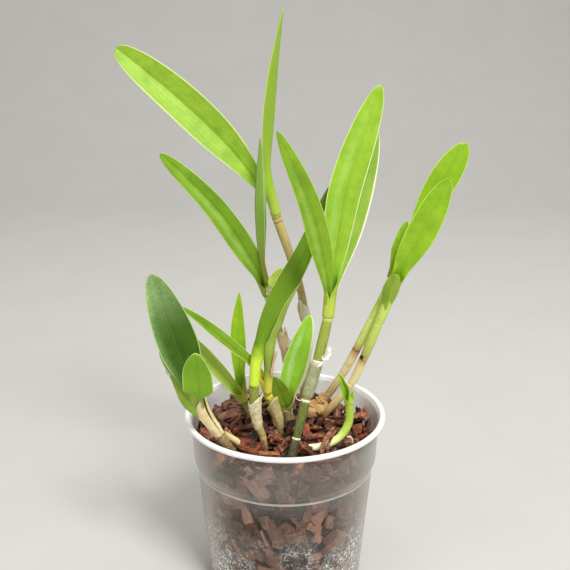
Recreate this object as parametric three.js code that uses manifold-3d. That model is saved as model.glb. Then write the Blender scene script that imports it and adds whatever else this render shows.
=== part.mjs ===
// Potted Epidendrum ciliare: ten leafy canes and a new shoot in a clear nursery pot of bark.
// Millimetres. The origin is the middle of the pot's base, +X is right, -Y is the front, +Z is up.

import * as THREE from "three";
import { mergeVertices } from "three/addons/utils/BufferGeometryUtils.js";
import Module from "manifold-3d";

const wasm = await Module();
wasm.setup();

// Free space between neighbouring pieces
const GAP = 0.3;

// Clear plastic pot: a beaded rim, a collar that steps in, and a tapered body
const POT = {
  height: 108,
  rimRadius: 60,
  beadHeight: 2.6,
  beadWidth: 3.4,
  wall: 1.1,
  floor: 1.5,
  collarTopRadius: 56.2,
  collarDepth: 26.3,
  collarRadius: 55,
  stepDepth: 32.6,
  stepRadius: 53.2,
  baseRadius: 46.6,
  footRound: 1.5,
  rimChamfer: 0.7,
  segments: 40,
  drainHoles: 8,
  drainRadius: 4,
  drainRing: 33,
  drainSides: 8,
};

// Bark bed: a packed core with loose chips over it. The core's top is domed, higher at the back
// left, and rolls by "rollHeight" in waves of "rollRates" radians per mm along x and y. Its side is
// dented by up to "relief" in a pattern of lobes round the wall that twist with the height.
const BARK = {
  coreTop: 90,
  coreDome: 2,
  backRise: 2,
  leftRise: 0.8,
  rollHeight: 1.5,
  rollRates: [0.13, 0.11],
  columns: 40,
  rows: 8,
  relief: 1.1,
  lobes: [7, 13],
  twists: [9, -21],
  chipCount: 66,
  chipMargin: 8,
  chipLength: [10, 19],
  chipWidth: [5, 9],
  chipThickness: [2.5, 4.5],
  chipLift: [1, 4.5],
  chipTaper: { length: [0.7, 1], width: [0.6, 1], thickness: [0.6, 1.1] },
  chipRoll: 0.7,
  chipPitch: 0.6,
  seed: 7,
};

// Canes: each joint is a place on the stem's axis with the stem's radius there
const CANES = {
  cane_1: {
    joints: [[-27, -25, 88], [-32, -26, 98], [-41, -28, 108], [-49, -32, 127]],
    radii: [2.4, 2.6, 2.5, 2.5],
    swell: 0.2,
  },
  cane_2: {
    joints: [[-22, 17, 88], [-23, 17, 100], [-26, 16, 109]],
    radii: [2, 2.2, 2],
    swell: 0.2,
  },
  cane_3: {
    joints: [[-11, -13, 88], [-13.5, -13.5, 99], [-17.5, -12.5, 110], [-18, -12, 129]],
    radii: [2.2, 2.1, 2.1, 3.1],
    swell: 0.1,
  },
  cane_4: {
    joints: [[-2, -2, 88], [-4, -2, 101], [-9.5, -3, 119]],
    radii: [2.1, 2.1, 2.4],
    swell: 0.1,
  },
  cane_5: {
    joints: [[4, 6, 88], [2.5, 5, 98], [0.5, 4, 108]],
    radii: [2.1, 2, 2.1],
    swell: 0.1,
  },
  cane_6: {
    joints: [[10, 38, 88], [13, 38, 112], [14, 38, 142], [9.8, 37, 171], [2.6, 36, 196], [-4.5, 35, 216.5]],
    radii: [2.3, 2.4, 2.4, 2.4, 2.5, 2.5],
    swell: 0.1,
  },
  cane_7: {
    joints: [[6, 33, 88], [3, 31, 112], [-1, 28, 140], [-8, 25, 164], [-11, 24, 175]],
    radii: [1.8, 1.7, 1.9, 2.2, 2.4],
    swell: 0.1,
  },
  cane_8: {
    joints: [[3.5, -33, 88], [6.5, -27, 103.5], [12, -22, 125], [18.5, -17, 147], [24, -12, 170]],
    radii: [2.9, 2.3, 2.6, 2.9, 2.6],
    swell: 0.25,
  },
  cane_9: {
    joints: [[19.5, 25.5, 95], [35, 22, 121], [43.5, 20, 139], [52.5, 18, 159], [61.5, 16, 180]],
    radii: [2.2, 2.4, 2.4, 2.6, 2.7],
    swell: 0.2,
  },
  cane_10: {
    joints: [[24, 19, 95], [40, 15, 118], [47.5, 12, 137], [55, 10, 159], [62.5, 8, 181]],
    radii: [2.2, 2.4, 2.4, 2.6, 2.6],
    swell: 0.2,
  },
};

// Creeping stem, the fat young root and the green shoot that comes up at the right
const RUNNERS = {
  rhizome: {
    joints: [[14, 26, 88], [17, 25, 95], [22.5, 22.5, 97], [26.5, 20.5, 98]],
    radii: [4, 4.4, 3.4, 2.4],
    swell: 0.7,
    color: 0xb48a56,
  },
  young_root: {
    joints: [[-35, -24, 105], [-31, -22, 101], [-26.5, -19, 95.5], [-24, -18, 89]],
    radii: [1.6, 1.9, 2, 1.6],
    swell: 0,
    color: 0xe6dfa6,
  },
  new_shoot: {
    joints: [[12, -26, 93], [21, -24.5, 97], [31, -21, 100.5], [37, -17.5, 109], [37, -17, 123]],
    radii: [2.2, 2.5, 2.5, 2.5, 2.2],
    swell: 0.1,
    color: 0xa9c455,
  },
};

// Papery sleeves: "from" and "to" are places along the cane from its foot (0) to its top (1), and
// "ragged" is how deep its torn upper edge may reach down
const SHEATHS = {
  sheath_1: { on: "cane_1", from: 0.5, to: 0.97, radii: [3.5, 3.6],
    front: [0.4, -1, 0], ragged: 3, seed: 880 },
  sheath_3: { on: "cane_3", from: 0.38, to: 0.86, radii: [2.8, 3.5],
    front: [-0.6, -1, 0], ragged: 4, seed: 700 },
  sheath_4: { on: "cane_4", from: 0.4, to: 0.92, radii: [2.8, 3.7],
    front: [0.6, -1, 0], ragged: 5, seed: 720 },
  sheath_5: { on: "cane_5", from: 0.45, to: 0.95, radii: [2.8, 3.3],
    front: [0.8, -1, 0], ragged: 3, seed: 760 },
  sheath_6: { on: "cane_6", from: 0.44, to: 0.62, radii: [3.1, 3.2],
    front: [0.9, 0.6, 0], ragged: 4, seed: 780 },
  sheath_7: { on: "cane_7", from: 0.28, to: 0.56, radii: [2.5, 3.3],
    front: [-0.7, 0.8, 0], ragged: 3, seed: 610 },
  sheath_8: { on: "cane_8", from: 0.53, to: 0.77, radii: [3.4, 3.7],
    front: [-0.5, -1, 0], ragged: 2.5, seed: 910 },
};

// Leaves: the route runs from the clasping foot to the tip, and a leaf that "crowns" a cane has its
// foot on that cane's top. "face" is where the upper side looks, "clasp" is the foot's radius,
// "widest" is the place of the full width, and "blunt" is how round the tip is (0.5 is an ellipse).
const LEAVES = {
  leaf_1a: {
    crowns: "cane_1",
    route: [[-54, -29, 145], [-62.5, -25, 170], [-74, -18, 199]],
    width: 23, clasp: 3.1, open: 0.3, fold: 10, face: [0.25, -1, 0.25], widest: 0.55, blunt: 0.5,
  },
  leaf_1b: {
    route: [[-47, -36.8, 127], [-47, -42, 141], [-47, -49, 155], [-47, -55, 167.5]],
    width: 17, clasp: 2.4, open: 0.35, fold: 6, face: [0, -1, 0.9], widest: 0.45, blunt: 0.5, wrap: 80,
  },
  leaf_1c: {
    route: [[-53.8, -31, 125.3], [-57, -28, 135], [-62.3, -24.5, 145], [-70.6, -21, 153.5]],
    width: 10, clasp: 1.8, open: 0.25, fold: 14, face: [0.3, -1, 0.2], widest: 0.45, blunt: 0.8, wrap: 60,
  },
  leaf_2a: {
    crowns: "cane_2",
    route: [[-34, 11, 121], [-49, 4, 143.5], [-61, -3, 162]],
    width: 9, clasp: 2.5, open: 0.3, fold: 10, face: [0.4, -1, 0.5], widest: 0.5, blunt: 0.7,
  },
  leaf_2b: {
    route: [[-26.5, 16.5, 112.5], [-28, 18, 130], [-28.5, 20, 152], [-27.5, 22, 175]],
    width: 9, clasp: 1.4, open: 0.3, fold: 15, face: [0, -1, 0.1], widest: 0.5, blunt: 0.8,
  },
  leaf_3a: {
    crowns: "cane_3",
    route: [[-15.5, -8, 149], [-5.5, 1, 174], [11.5, 9, 206], [25, 16, 241]],
    width: 13, clasp: 3.1, open: 0.35, fold: 14, face: [-0.2, -1, 0.2], widest: 0.55, blunt: 0.9,
  },
  leaf_4a: {
    crowns: "cane_4",
    route: [[-16, -3, 135], [-31.8, -6, 152.5], [-47, -9, 167], [-61, -12, 179.5]],
    width: 8, clasp: 2.7, open: 0.25, fold: 28, face: [0.5, -0.7, 0.7], widest: 0.5, blunt: 0.7,
  },
  leaf_4b: {
    route: [[-9.5, -4.3, 124], [-9.5, -8.5, 144], [-5.5, -12, 162], [0.3, -14.5, 178], [7.6, -15, 192.5]],
    width: 8.5, clasp: 1.2, open: 0.3, fold: 70, face: [-0.8, -0.7, 0.4], widest: 0.4, blunt: 0.8,
  },
  leaf_5a: {
    crowns: "cane_5",
    route: [[4, 1, 127], [9.5, -1.5, 149], [14.5, -4, 170]],
    width: 16, clasp: 2.6, open: 0.3, fold: 14, face: [-0.1, -1, 0.1], widest: 0.5, blunt: 0.55,
  },
  leaf_5b: {
    route: [[-1.5, 8.5, 108], [-3.5, 9, 117], [-7, 10, 127]],
    width: 13, clasp: 1.6, open: 0.4, fold: 20, face: [0.3, 1, 0.2], widest: 0.5, blunt: 0.55, wrap: 70,
  },
  leaf_6a: {
    crowns: "cane_6",
    route: [[-9.5, 33, 241], [-9.8, 30.5, 273], [-6, 28, 306], [-1.5, 26, 338]],
    width: 20, clasp: 2.7, open: 0.25, fold: 10, face: [-0.95, 0.3, 0], widest: 0.5, blunt: 0.9,
  },
  leaf_6b: {
    route: [[-7, 34.6, 222.5], [-14.5, 36.5, 237], [-34.5, 40, 261], [-63.5, 43, 288.5], [-97.5, 46, 316]],
    width: 24, clasp: 1.4, open: 0.3, fold: 20, face: [0.1, -1, 0.15], widest: 0.66, blunt: 0.5,
  },
  leaf_7a: {
    crowns: "cane_7",
    route: [[-19, 22, 194], [-40.5, 17, 229], [-69.5, 10, 261]],
    width: 14, clasp: 2.6, open: 0.3, fold: 16, face: [0, -1, 0.2], widest: 0.5, blunt: 0.55,
  },
  leaf_7b: {
    route: [[-10.5, 21.5, 181], [-15.5, 18.5, 206], [-16.5, 17.5, 236], [-14, 17, 268.5]],
    width: 12, clasp: 1.2, open: 0.3, fold: 62, face: [1, -0.15, 0], widest: 0.5, blunt: 0.8,
  },
  leaf_7c: {
    route: [[-7.5, 20.5, 176], [-6, 20, 182.5], [-2.1, 19.5, 191]],
    width: 8, clasp: 1.6, open: 0.4, fold: 30, face: [-0.3, -1, 0.2], widest: 0.45, blunt: 0.6, wrap: 60,
  },
  leaf_8b: {
    crowns: "cane_8",
    route: [[27.5, -8, 204], [34, -5, 247], [50.5, -7, 300]],
    width: 19, clasp: 2.9, open: 0.3, fold: 12, face: [-0.2, -1, 0.1], widest: 0.65, blunt: 0.5,
  },
  leaf_8a: {
    route: [[23.4, -12, 178], [22.8, -14, 197], [13.3, -17, 238], [-4, -20, 278]],
    width: 12.5, clasp: 1.3, open: 0.2, fold: 12, face: [0.15, -1, 0.1], widest: 0.55, blunt: 0.65,
  },
  leaf_8c: {
    route: [[26, -8.8, 178], [32.5, -2, 205], [43, 4, 243], [51, 7, 274]],
    width: 15, clasp: 1.6, open: 0.2, fold: 22, face: [0.1, -1, 0.15], widest: 0.55, blunt: 0.65, wrap: 60,
  },
  leaf_9a: {
    crowns: "cane_9",
    route: [[69.4, 16.2, 202.5], [83.5, 17, 234], [102, 15, 266]],
    width: 17, clasp: 3, open: 0.35, fold: 12, face: [-0.2, -1, 0.2], widest: 0.78, blunt: 0.5,
  },
  leaf_9b: {
    route: [[62.2, 19.4, 185], [66.4, 20.4, 197], [68.8, 20.9, 206], [71.7, 21.5, 219.5]],
    width: 7.5, clasp: 1.6, open: 0.4, fold: 20, face: [-0.4, -1, 0.1], widest: 0.5, blunt: 0.5, wrap: 80,
  },
  leaf_10a: {
    crowns: "cane_10",
    route: [[68.5, 5, 199], [79, 2, 222], [90, -1, 248]],
    width: 17.5, clasp: 2.9, open: 0.35, fold: 10, face: [-0.1, -1, 0.15], widest: 0.6, blunt: 0.45,
  },
  leaf_10b: {
    route: [[59.8, 6.6, 173.5], [62.2, 4, 182], [65, 1.5, 192]],
    width: 8.5, clasp: 2.4, open: 0.5, fold: 25, face: [0.2, 1, 0.1], widest: 0.5, blunt: 0.5, wrap: 70,
  },
  shoot_leaf: {
    crowns: "new_shoot",
    route: [[35, -17.5, 131], [31, -18, 140]],
    width: 6.5, clasp: 2.3, open: 0.5, fold: 30, face: [-0.6, -1, 0.3], widest: 0.4, blunt: 0.7,
  },
};

// Every leaf: half-angles (degrees) that its foot wraps round the stem and that its open blade
// curls, its thickness, the share of that left at the tip, how far a crowning foot sits above its
// cane, where the foot starts to widen, and the least share of the width at the very tip
const LEAF = {
  footWrap: 135,
  openCurl: 8,
  middleThickness: 1.2,
  edgeThickness: 0.7,
  tipThickness: 0.8,
  footLift: 0.9,
  neck: 0.08,
  leastTip: 0.07,
  stations: 10,
  tipCrowding: 1.5,
  across: [-1, -0.55, 0, 0.55, 1],
};

// Every sleeve: the half-angle (degrees) that it wraps, and its thickness
const SLEEVE = {
  wrap: 155,
  thickness: 0.6,
  stations: 4,
  across: [-1, -0.66, -0.33, 0, 0.33, 0.66, 1],
};

// Every stem: flat sides round it, and the ring at a joint, as a height and a share of a segment
const STEM = { sides: 8, ringHeight: 0.15, ringHalf: 0.05 };

// A bend below this (radians per mm) counts as straight
const STRAIGHT = 1e-4;

const FINISHES = {
  pot: { color: 0xd9dcd8, roughness: 0.35 },
  bark: { color: 0x7a4327, roughness: 0.9 },
  cane: { color: 0x8a9a4a, roughness: 0.6 },
  sleeve: { color: 0xcdbd98, roughness: 0.8 },
  leaf: { color: 0x6fa826, roughness: 0.45 },
};

/** A random generator with a fixed seed. */
function seededRandom(seed) {
  let state = seed;
  return (low = 0, high = 1) => {
    state = (state * 1664525 + 1013904223) % 4294967296;
    return low + (high - low) * (state / 4294967296);
  };
}

/** A smooth step from 0 at `start` to 1 at `end`. */
function ease(start, end, x) {
  return THREE.MathUtils.smoothstep(x, start, end);
}

/** The curve through hand-placed points. */
function curveThrough(points) {
  const vectors = points.map((point) => new THREE.Vector3(...point));
  return new THREE.CatmullRomCurve3(vectors, false, "catmullrom", 0.5);
}

/** An indexed geometry from a list of points and a list of triangles. */
function meshOf(points, triangles) {
  const geometry = new THREE.BufferGeometry().setFromPoints(points);
  geometry.setIndex(triangles.flat());
  return geometry;
}

/** A solid that can be cut and joined, from a closed geometry. */
function solidOf(geometry) {
  const bare = geometry.clone();
  bare.deleteAttribute("normal");
  bare.deleteAttribute("uv");
  const merged = mergeVertices(bare, 1e-4);
  const mesh = new wasm.Mesh({
    numProp: 3,
    vertProperties: new Float32Array(merged.attributes.position.array),
    triVerts: new Uint32Array(merged.index.array),
  });
  return new wasm.Manifold(mesh);
}

/** The geometry of a solid that was cut or joined. */
function geometryOf(solid) {
  const mesh = solid.getMesh();
  const geometry = new THREE.BufferGeometry();
  geometry.setAttribute("position", new THREE.BufferAttribute(mesh.vertProperties, 3));
  geometry.setIndex(new THREE.BufferAttribute(mesh.triVerts, 1));
  geometry.computeVertexNormals();
  return geometry;
}

/** The largest of a solid's separate bodies. */
function largestBody(solid) {
  return solid.decompose().reduce((best, body) => (body.volume() > best.volume() ? body : best));
}

/** A round tube skin: rings of points across the curve, closed at both ends. */
function tube(curve, stations, radiusAt, sides) {
  const points = [];
  const triangles = [];
  const across = new THREE.Vector3(0, -1, 0);
  for (const t of stations) {
    const centre = curve.getPoint(t);
    const along = curve.getTangent(t);
    const first = across.clone().addScaledVector(along, -across.dot(along)).normalize();
    const second = along.clone().cross(first);
    for (let k = 0; k < sides; k += 1) {
      const angle = (2 * Math.PI * k) / sides;
      points.push(centre.clone()
        .addScaledVector(first, radiusAt(t) * Math.cos(angle))
        .addScaledVector(second, radiusAt(t) * Math.sin(angle)));
    }
  }
  for (let i = 0; i + 1 < stations.length; i += 1) {
    for (let k = 0; k < sides; k += 1) {
      const next = (k + 1) % sides;
      const low = i * sides;
      const high = low + sides;
      triangles.push([low + k, low + next, high + next], [low + k, high + next, high + k]);
    }
  }
  const top = (stations.length - 1) * sides;
  for (let k = 1; k + 1 < sides; k += 1) {
    triangles.push([0, k + 1, k], [top, top + k, top + k + 1]);
  }
  return meshOf(points, triangles);
}

/**
 * A point of a blade's cross-section and the direction of its upper face there.
 * The section folds up by `fold` on each side of the middle and then curls with `bend` per mm.
 */
function sectionAt(arc, fold, bend) {
  const reach = Math.abs(arc);
  const side = Math.sign(arc);
  const angle = fold + bend * reach;
  const straight = Math.abs(bend) < STRAIGHT;
  const out = straight ? reach * Math.cos(fold) : (Math.sin(angle) - Math.sin(fold)) / bend;
  const up = straight ? reach * Math.sin(fold) : (Math.cos(fold) - Math.cos(angle)) / bend;
  return {
    out: side * out,
    up,
    normalOut: -side * Math.sin(angle),
    normalUp: side === 0 ? 1 : Math.cos(angle),
  };
}

/** A thin blade or sleeve along a curve, with both faces split into triangles alike. */
function blade(shape) {
  const { curve, stations, across, face, half, fold, curl, back, thickness, shift, grow } = shape;
  const points = [];
  const triangles = [];
  const columns = across.length;
  for (const t of stations) {
    const along = curve.getTangent(t);
    const up = face.clone().addScaledVector(along, -face.dot(along)).normalize();
    const out = along.clone().cross(up);
    const keel = curve.getPoint(t).addScaledVector(up, -back(t));
    for (const u of across) {
      const place = sectionAt(u * (half(t) + grow), fold(t), curl(t) / half(t));
      const middle = keel.clone()
        .addScaledVector(out, place.out)
        .addScaledVector(up, place.up)
        .addScaledVector(along, shift(t, u));
      const normal = out.clone().multiplyScalar(place.normalOut).addScaledVector(up, place.normalUp);
      const rise = thickness(t, u) / 2 + grow;
      points.push(middle.clone().addScaledVector(normal, rise));
      points.push(middle.clone().addScaledVector(normal, -rise));
    }
  }
  const index = (i, j, lower) => (i * columns + j) * 2 + lower;
  const quad = (a, b, c, d) => triangles.push([a, b, c], [a, c, d]);
  const last = stations.length - 1;
  for (let i = 0; i < last; i += 1) {
    for (let j = 0; j + 1 < columns; j += 1) {
      quad(index(i, j, 0), index(i, j + 1, 0), index(i + 1, j + 1, 0), index(i + 1, j, 0));
      quad(index(i + 1, j + 1, 1), index(i, j + 1, 1), index(i, j, 1), index(i + 1, j, 1));
    }
    quad(index(i, 0, 1), index(i, 0, 0), index(i + 1, 0, 0), index(i + 1, 0, 1));
    quad(index(i, columns - 1, 0), index(i, columns - 1, 1), index(i + 1, columns - 1, 1),
      index(i + 1, columns - 1, 0));
  }
  for (let j = 0; j + 1 < columns; j += 1) {
    quad(index(0, j, 1), index(0, j + 1, 1), index(0, j + 1, 0), index(0, j, 0));
    quad(index(last, j, 0), index(last, j + 1, 0), index(last, j + 1, 1), index(last, j, 1));
  }
  return meshOf(points, triangles);
}

/** Places from 0 to 1 that crowd together towards 1, for a rounded tip. */
function tipStations(count) {
  return Array.from({ length: count }, (_, i) => 1 - (1 - i / (count - 1)) ** LEAF.tipCrowding);
}

/** The point on top of a stem, lifted by the free gap, where a crowning leaf starts. */
function topOf(name) {
  const stemData = CANES[name] ?? RUNNERS[name];
  const curve = curveThrough(stemData.joints);
  return curve.getPoint(1).addScaledVector(curve.getTangent(1), LEAF.footLift).toArray();
}

/** A leaf's route with its foot in place. */
function leafRoute(data) {
  return data.crowns ? [topOf(data.crowns), ...data.route] : data.route;
}

/** One leaf, from its clasping foot to its tip. `grow` thickens it all round. */
function leaf(data, grow = 0) {
  const { degToRad, lerp } = THREE.MathUtils;
  const opened = (t) => ease(0, data.open, t);
  const curl = (t) => lerp(degToRad(data.wrap ?? LEAF.footWrap), degToRad(LEAF.openCurl), opened(t));
  const seenHalf = (t) => {
    const s = Math.max(0, (t - data.widest) / (1 - data.widest));
    const tip = Math.max(LEAF.leastTip, (1 - s * s) ** data.blunt);
    return lerp(data.clasp, data.width / 2, ease(LEAF.neck, data.widest, t)) * tip;
  };
  return blade({
    curve: curveThrough(leafRoute(data)),
    stations: tipStations(LEAF.stations),
    across: LEAF.across,
    face: new THREE.Vector3(...data.face).normalize(),
    half: (t) => seenHalf(t) * (curl(t) / Math.sin(Math.min(curl(t), Math.PI / 2))),
    fold: (t) => degToRad(data.fold) * opened(t),
    curl,
    back: (t) => data.clasp * (1 - opened(t)),
    thickness: (t, u) => {
      const body = lerp(LEAF.middleThickness, LEAF.edgeThickness, Math.abs(u));
      return body * lerp(1, LEAF.tipThickness, t * t);
    },
    shift: (t) => (t === 0 ? -grow : 0) + (t === 1 ? grow : 0),
    grow,
  });
}

/** One papery sleeve round a cane, torn along its upper edge. */
function sheath(data, grow = 0) {
  const random = seededRandom(data.seed);
  const tears = SLEEVE.across.map(() => random(-data.ragged, 0));
  const wrap = THREE.MathUtils.degToRad(SLEEVE.wrap);
  const radius = (t) => THREE.MathUtils.mapLinear(t, data.from, data.to, ...data.radii);
  const stations = Array.from({ length: SLEEVE.stations }, (_, i) => (
    THREE.MathUtils.lerp(data.from, data.to, i / (SLEEVE.stations - 1))
  ));
  return blade({
    curve: curveThrough(CANES[data.on].joints),
    stations,
    across: SLEEVE.across,
    face: new THREE.Vector3(...data.front).normalize().negate(),
    half: (t) => radius(t) * wrap,
    fold: () => 0,
    curl: () => wrap,
    back: radius,
    thickness: () => SLEEVE.thickness,
    shift: (t, u) => {
      const torn = t === data.to ? tears[SLEEVE.across.indexOf(u)] + grow : 0;
      return t === data.from ? -grow : torn;
    },
    grow,
  });
}

/** One cane or runner: a tube with a slight swelling between joints and a ring at each. */
function stem(data, grow = 0) {
  const parts = data.joints.length - 1;
  const stations = [0];
  for (let i = 0; i < parts; i += 1) {
    stations.push((i + 0.5) / parts);
    if (i + 1 < parts) {
      stations.push(...[-STEM.ringHalf, 0, STEM.ringHalf].map((step) => (i + 1 + step) / parts));
    }
  }
  stations.push(1);
  const radiusAt = (t) => {
    const place = t * parts;
    const i = Math.min(Math.floor(place), parts - 1);
    const s = place - i;
    const plain = THREE.MathUtils.lerp(data.radii[i], data.radii[i + 1], s);
    const nearest = Math.abs(place - Math.round(place));
    const ring = nearest < STEM.ringHalf / 2 && t > 0 && t < 1 ? STEM.ringHeight : 0;
    return plain + data.swell * Math.sin(Math.PI * s) + ring + grow;
  };
  return tube(curveThrough(data.joints), stations, radiusAt, STEM.sides);
}

/** The pot wall's outer radius at a height above the table. */
function wallRadius(z) {
  const collarBase = POT.height - POT.collarDepth;
  const stepBase = POT.height - POT.stepDepth;
  if (z > collarBase) {
    return THREE.MathUtils.mapLinear(z, collarBase, POT.height, POT.collarRadius, POT.collarTopRadius);
  }
  if (z > stepBase) {
    return THREE.MathUtils.mapLinear(z, stepBase, collarBase, POT.stepRadius, POT.collarRadius);
  }
  return THREE.MathUtils.mapLinear(z, 0, stepBase, POT.baseRadius, POT.stepRadius);
}

/** The pot: a lathed cup with round drain holes through its floor. */
function pot() {
  const beadBase = POT.height - POT.beadHeight;
  const heights = [POT.footRound, POT.height - POT.stepDepth, POT.height - POT.collarDepth, beadBase];
  const outer = heights.map((z) => new THREE.Vector2(wallRadius(z), z));
  const inner = heights.map((z) => new THREE.Vector2(wallRadius(z) - POT.wall, z)).slice(1).reverse();
  const rimInner = POT.rimRadius - POT.beadWidth;
  const profile = [
    new THREE.Vector2(0, 0),
    new THREE.Vector2(POT.baseRadius - POT.footRound, 0),
    ...outer,
    new THREE.Vector2(POT.rimRadius, beadBase),
    new THREE.Vector2(POT.rimRadius, POT.height - POT.rimChamfer),
    new THREE.Vector2(POT.rimRadius - POT.rimChamfer, POT.height),
    new THREE.Vector2(rimInner + POT.rimChamfer, POT.height),
    new THREE.Vector2(rimInner, POT.height - POT.rimChamfer),
    ...inner,
    new THREE.Vector2(wallRadius(POT.floor) - POT.wall, POT.floor),
    new THREE.Vector2(0, POT.floor),
  ];
  let solid = solidOf(new THREE.LatheGeometry(profile, POT.segments).rotateX(Math.PI / 2));
  const hole = new THREE.CylinderGeometry(POT.drainRadius, POT.drainRadius, 4 * POT.floor, POT.drainSides);
  hole.rotateX(Math.PI / 2).translate(POT.drainRing, 0, 0);
  for (let i = 0; i < POT.drainHoles; i += 1) {
    const turned = hole.clone().rotateZ((2 * Math.PI * i) / POT.drainHoles);
    solid = solid.subtract(solidOf(turned));
  }
  return solid;
}

/** The space inside the pot, less the free gap, that the bark may fill. */
function potInside() {
  const clear = POT.wall + GAP;
  const floor = POT.floor + GAP;
  const heights = [floor, POT.height - POT.stepDepth, POT.height - POT.collarDepth, POT.height];
  const profile = [
    new THREE.Vector2(0, floor),
    ...heights.map((z) => new THREE.Vector2(wallRadius(z) - clear, z)),
    new THREE.Vector2(0, POT.height),
  ];
  return solidOf(new THREE.LatheGeometry(profile, POT.segments).rotateX(Math.PI / 2));
}

/** The height of the bark bed's packed core at a place. */
function bedHeight(x, y) {
  const away = Math.hypot(x, y) / POT.collarRadius;
  const roll = BARK.rollHeight * Math.sin(BARK.rollRates[0] * x + 1) * Math.cos(BARK.rollRates[1] * y);
  const rise = (BARK.backRise * y - BARK.leftRise * x) / POT.collarRadius;
  return BARK.coreTop + BARK.coreDome * (1 - away * away) + roll + rise;
}

/** The packed core: a lathed plug whose side and top are roughened by a formula. */
function barkCore() {
  const floor = POT.floor + GAP;
  const side = Array.from({ length: BARK.rows }, (_, i) => i / (BARK.rows - 1));
  const topRings = [2 / 3, 1 / 3, 0];
  const profile = [
    new THREE.Vector2(0, 0),
    ...side.map((s) => new THREE.Vector2(1, s)),
    ...topRings.map((share) => new THREE.Vector2(share, 1)),
  ];
  const geometry = new THREE.LatheGeometry(profile, BARK.columns).rotateX(Math.PI / 2);
  const spots = geometry.attributes.position;
  for (let i = 0; i < spots.count; i += 1) {
    const share = Math.hypot(spots.getX(i), spots.getY(i));
    const angle = Math.atan2(spots.getY(i), spots.getX(i));
    const level = spots.getZ(i);
    const wall = wallRadius(level * BARK.coreTop) - POT.wall - GAP;
    const waves = BARK.lobes.map((lobe, k) => Math.sin(lobe * angle + BARK.twists[k] * level));
    const dent = level > 0 ? (BARK.relief * (1 + waves[0] * waves[1])) / 2 : 0;
    const radius = share * (wall - dent);
    const x = radius * Math.cos(angle);
    const y = radius * Math.sin(angle);
    spots.setXYZ(i, x, y, THREE.MathUtils.lerp(floor, bedHeight(x, y), level));
  }
  return solidOf(geometry);
}

/** One bark chip: a slab with uneven corners, turned and placed. */
function barkChip(random, x, y) {
  const geometry = mergeVertices(bareBox(
    random(...BARK.chipLength),
    random(...BARK.chipWidth),
    random(...BARK.chipThickness),
  ));
  const spots = geometry.attributes.position;
  for (let i = 0; i < spots.count; i += 1) {
    spots.setXYZ(
      i,
      spots.getX(i) * random(...BARK.chipTaper.length),
      spots.getY(i) * random(...BARK.chipTaper.width),
      spots.getZ(i) * random(...BARK.chipTaper.thickness),
    );
  }
  geometry.rotateX(random(-BARK.chipRoll, BARK.chipRoll));
  geometry.rotateY(random(-BARK.chipPitch, BARK.chipPitch));
  geometry.rotateZ(random(0, Math.PI));
  geometry.translate(x, y, bedHeight(x, y) + random(...BARK.chipLift));
  return solidOf(geometry);
}

/** A box with only its positions left. */
function bareBox(x, y, z) {
  const box = new THREE.BoxGeometry(x, y, z);
  box.deleteAttribute("normal");
  box.deleteAttribute("uv");
  return box;
}

/** The bark bed: core and chips in one body, spread by the sunflower rule. */
function bark() {
  const random = seededRandom(BARK.seed);
  const golden = Math.PI * (3 - Math.sqrt(5));
  const reach = POT.collarRadius - BARK.chipMargin;
  const chips = [];
  for (let i = 0; i < BARK.chipCount; i += 1) {
    const radius = reach * Math.sqrt((i + 0.5) / BARK.chipCount);
    const angle = i * golden;
    chips.push(barkChip(random, radius * Math.cos(angle), radius * Math.sin(angle)));
  }
  return wasm.Manifold.union([barkCore(), ...chips]).intersect(potInside());
}

/** Cuts the pieces that are already in place, with their free gap, out of a solid. */
function fitted(solid, placed) {
  const blockers = placed.filter((other) => other.clearance).map((other) => other.clearance);
  return blockers.length ? largestBody(solid.subtract(wasm.Manifold.union(blockers))) : solid;
}

const group = new THREE.Group();
const placed = [];

/** Adds a solid to the model as a named mesh whose own origin is `origin`. */
function place(name, solid, origin, finish, clearance) {
  const geometry = geometryOf(solid).translate(-origin[0], -origin[1], -origin[2]);
  const material = new THREE.MeshStandardMaterial({ ...finish, metalness: 0 });
  const mesh = new THREE.Mesh(geometry, material);
  mesh.name = name;
  mesh.position.set(...origin);
  group.add(mesh);
  placed.push({ name, clearance });
}

/** Builds one kind of piece from its table, each fitted round those already in place. */
function placeAll(table, make, originOf, finish) {
  for (const [name, data] of Object.entries(table)) {
    const solid = fitted(solidOf(make(data)), placed);
    const color = data.color ?? finish.color;
    place(name, solid, originOf(data), { ...finish, color }, solidOf(make(data, GAP)));
  }
}

const firstJoint = (data) => data.joints[0];
const sheathFoot = (data) => CANES[data.on].joints[0];
const leafFoot = (data) => leafRoute(data)[0];

place("pot", pot(), [0, 0, 0], FINISHES.pot, null);
placeAll(CANES, stem, firstJoint, FINISHES.cane);
placeAll(RUNNERS, stem, firstJoint, FINISHES.cane);
placeAll(SHEATHS, sheath, sheathFoot, FINISHES.sleeve);
placeAll(LEAVES, leaf, leafFoot, FINISHES.leaf);
place("bark", fitted(bark(), placed), [0, 0, BARK.coreTop], FINISHES.bark, null);

export default group;
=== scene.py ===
"""Dresses the potted orchid: fine leaves, canes, papery sleeves, bark chips and a clear pot.

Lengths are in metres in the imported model's frame: the origin is the middle of the pot's base, +X is
right, -Y is the front and +Z is up. The tables of stems, sleeves, leaves, scraps and chips near the end
are in millimetres. Every piece rides on the one body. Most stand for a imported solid, and the rest are
fine detail on one: rootlets, knobs, scraps of dry skin and strips of bark.
"""

import sys
import logging
import math
from collections.abc import Callable, Sequence
from dataclasses import dataclass, field, replace
from enum import Enum
from typing import Any, ClassVar

import bpy
from mathutils import Euler, Matrix, Vector, noise


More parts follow.
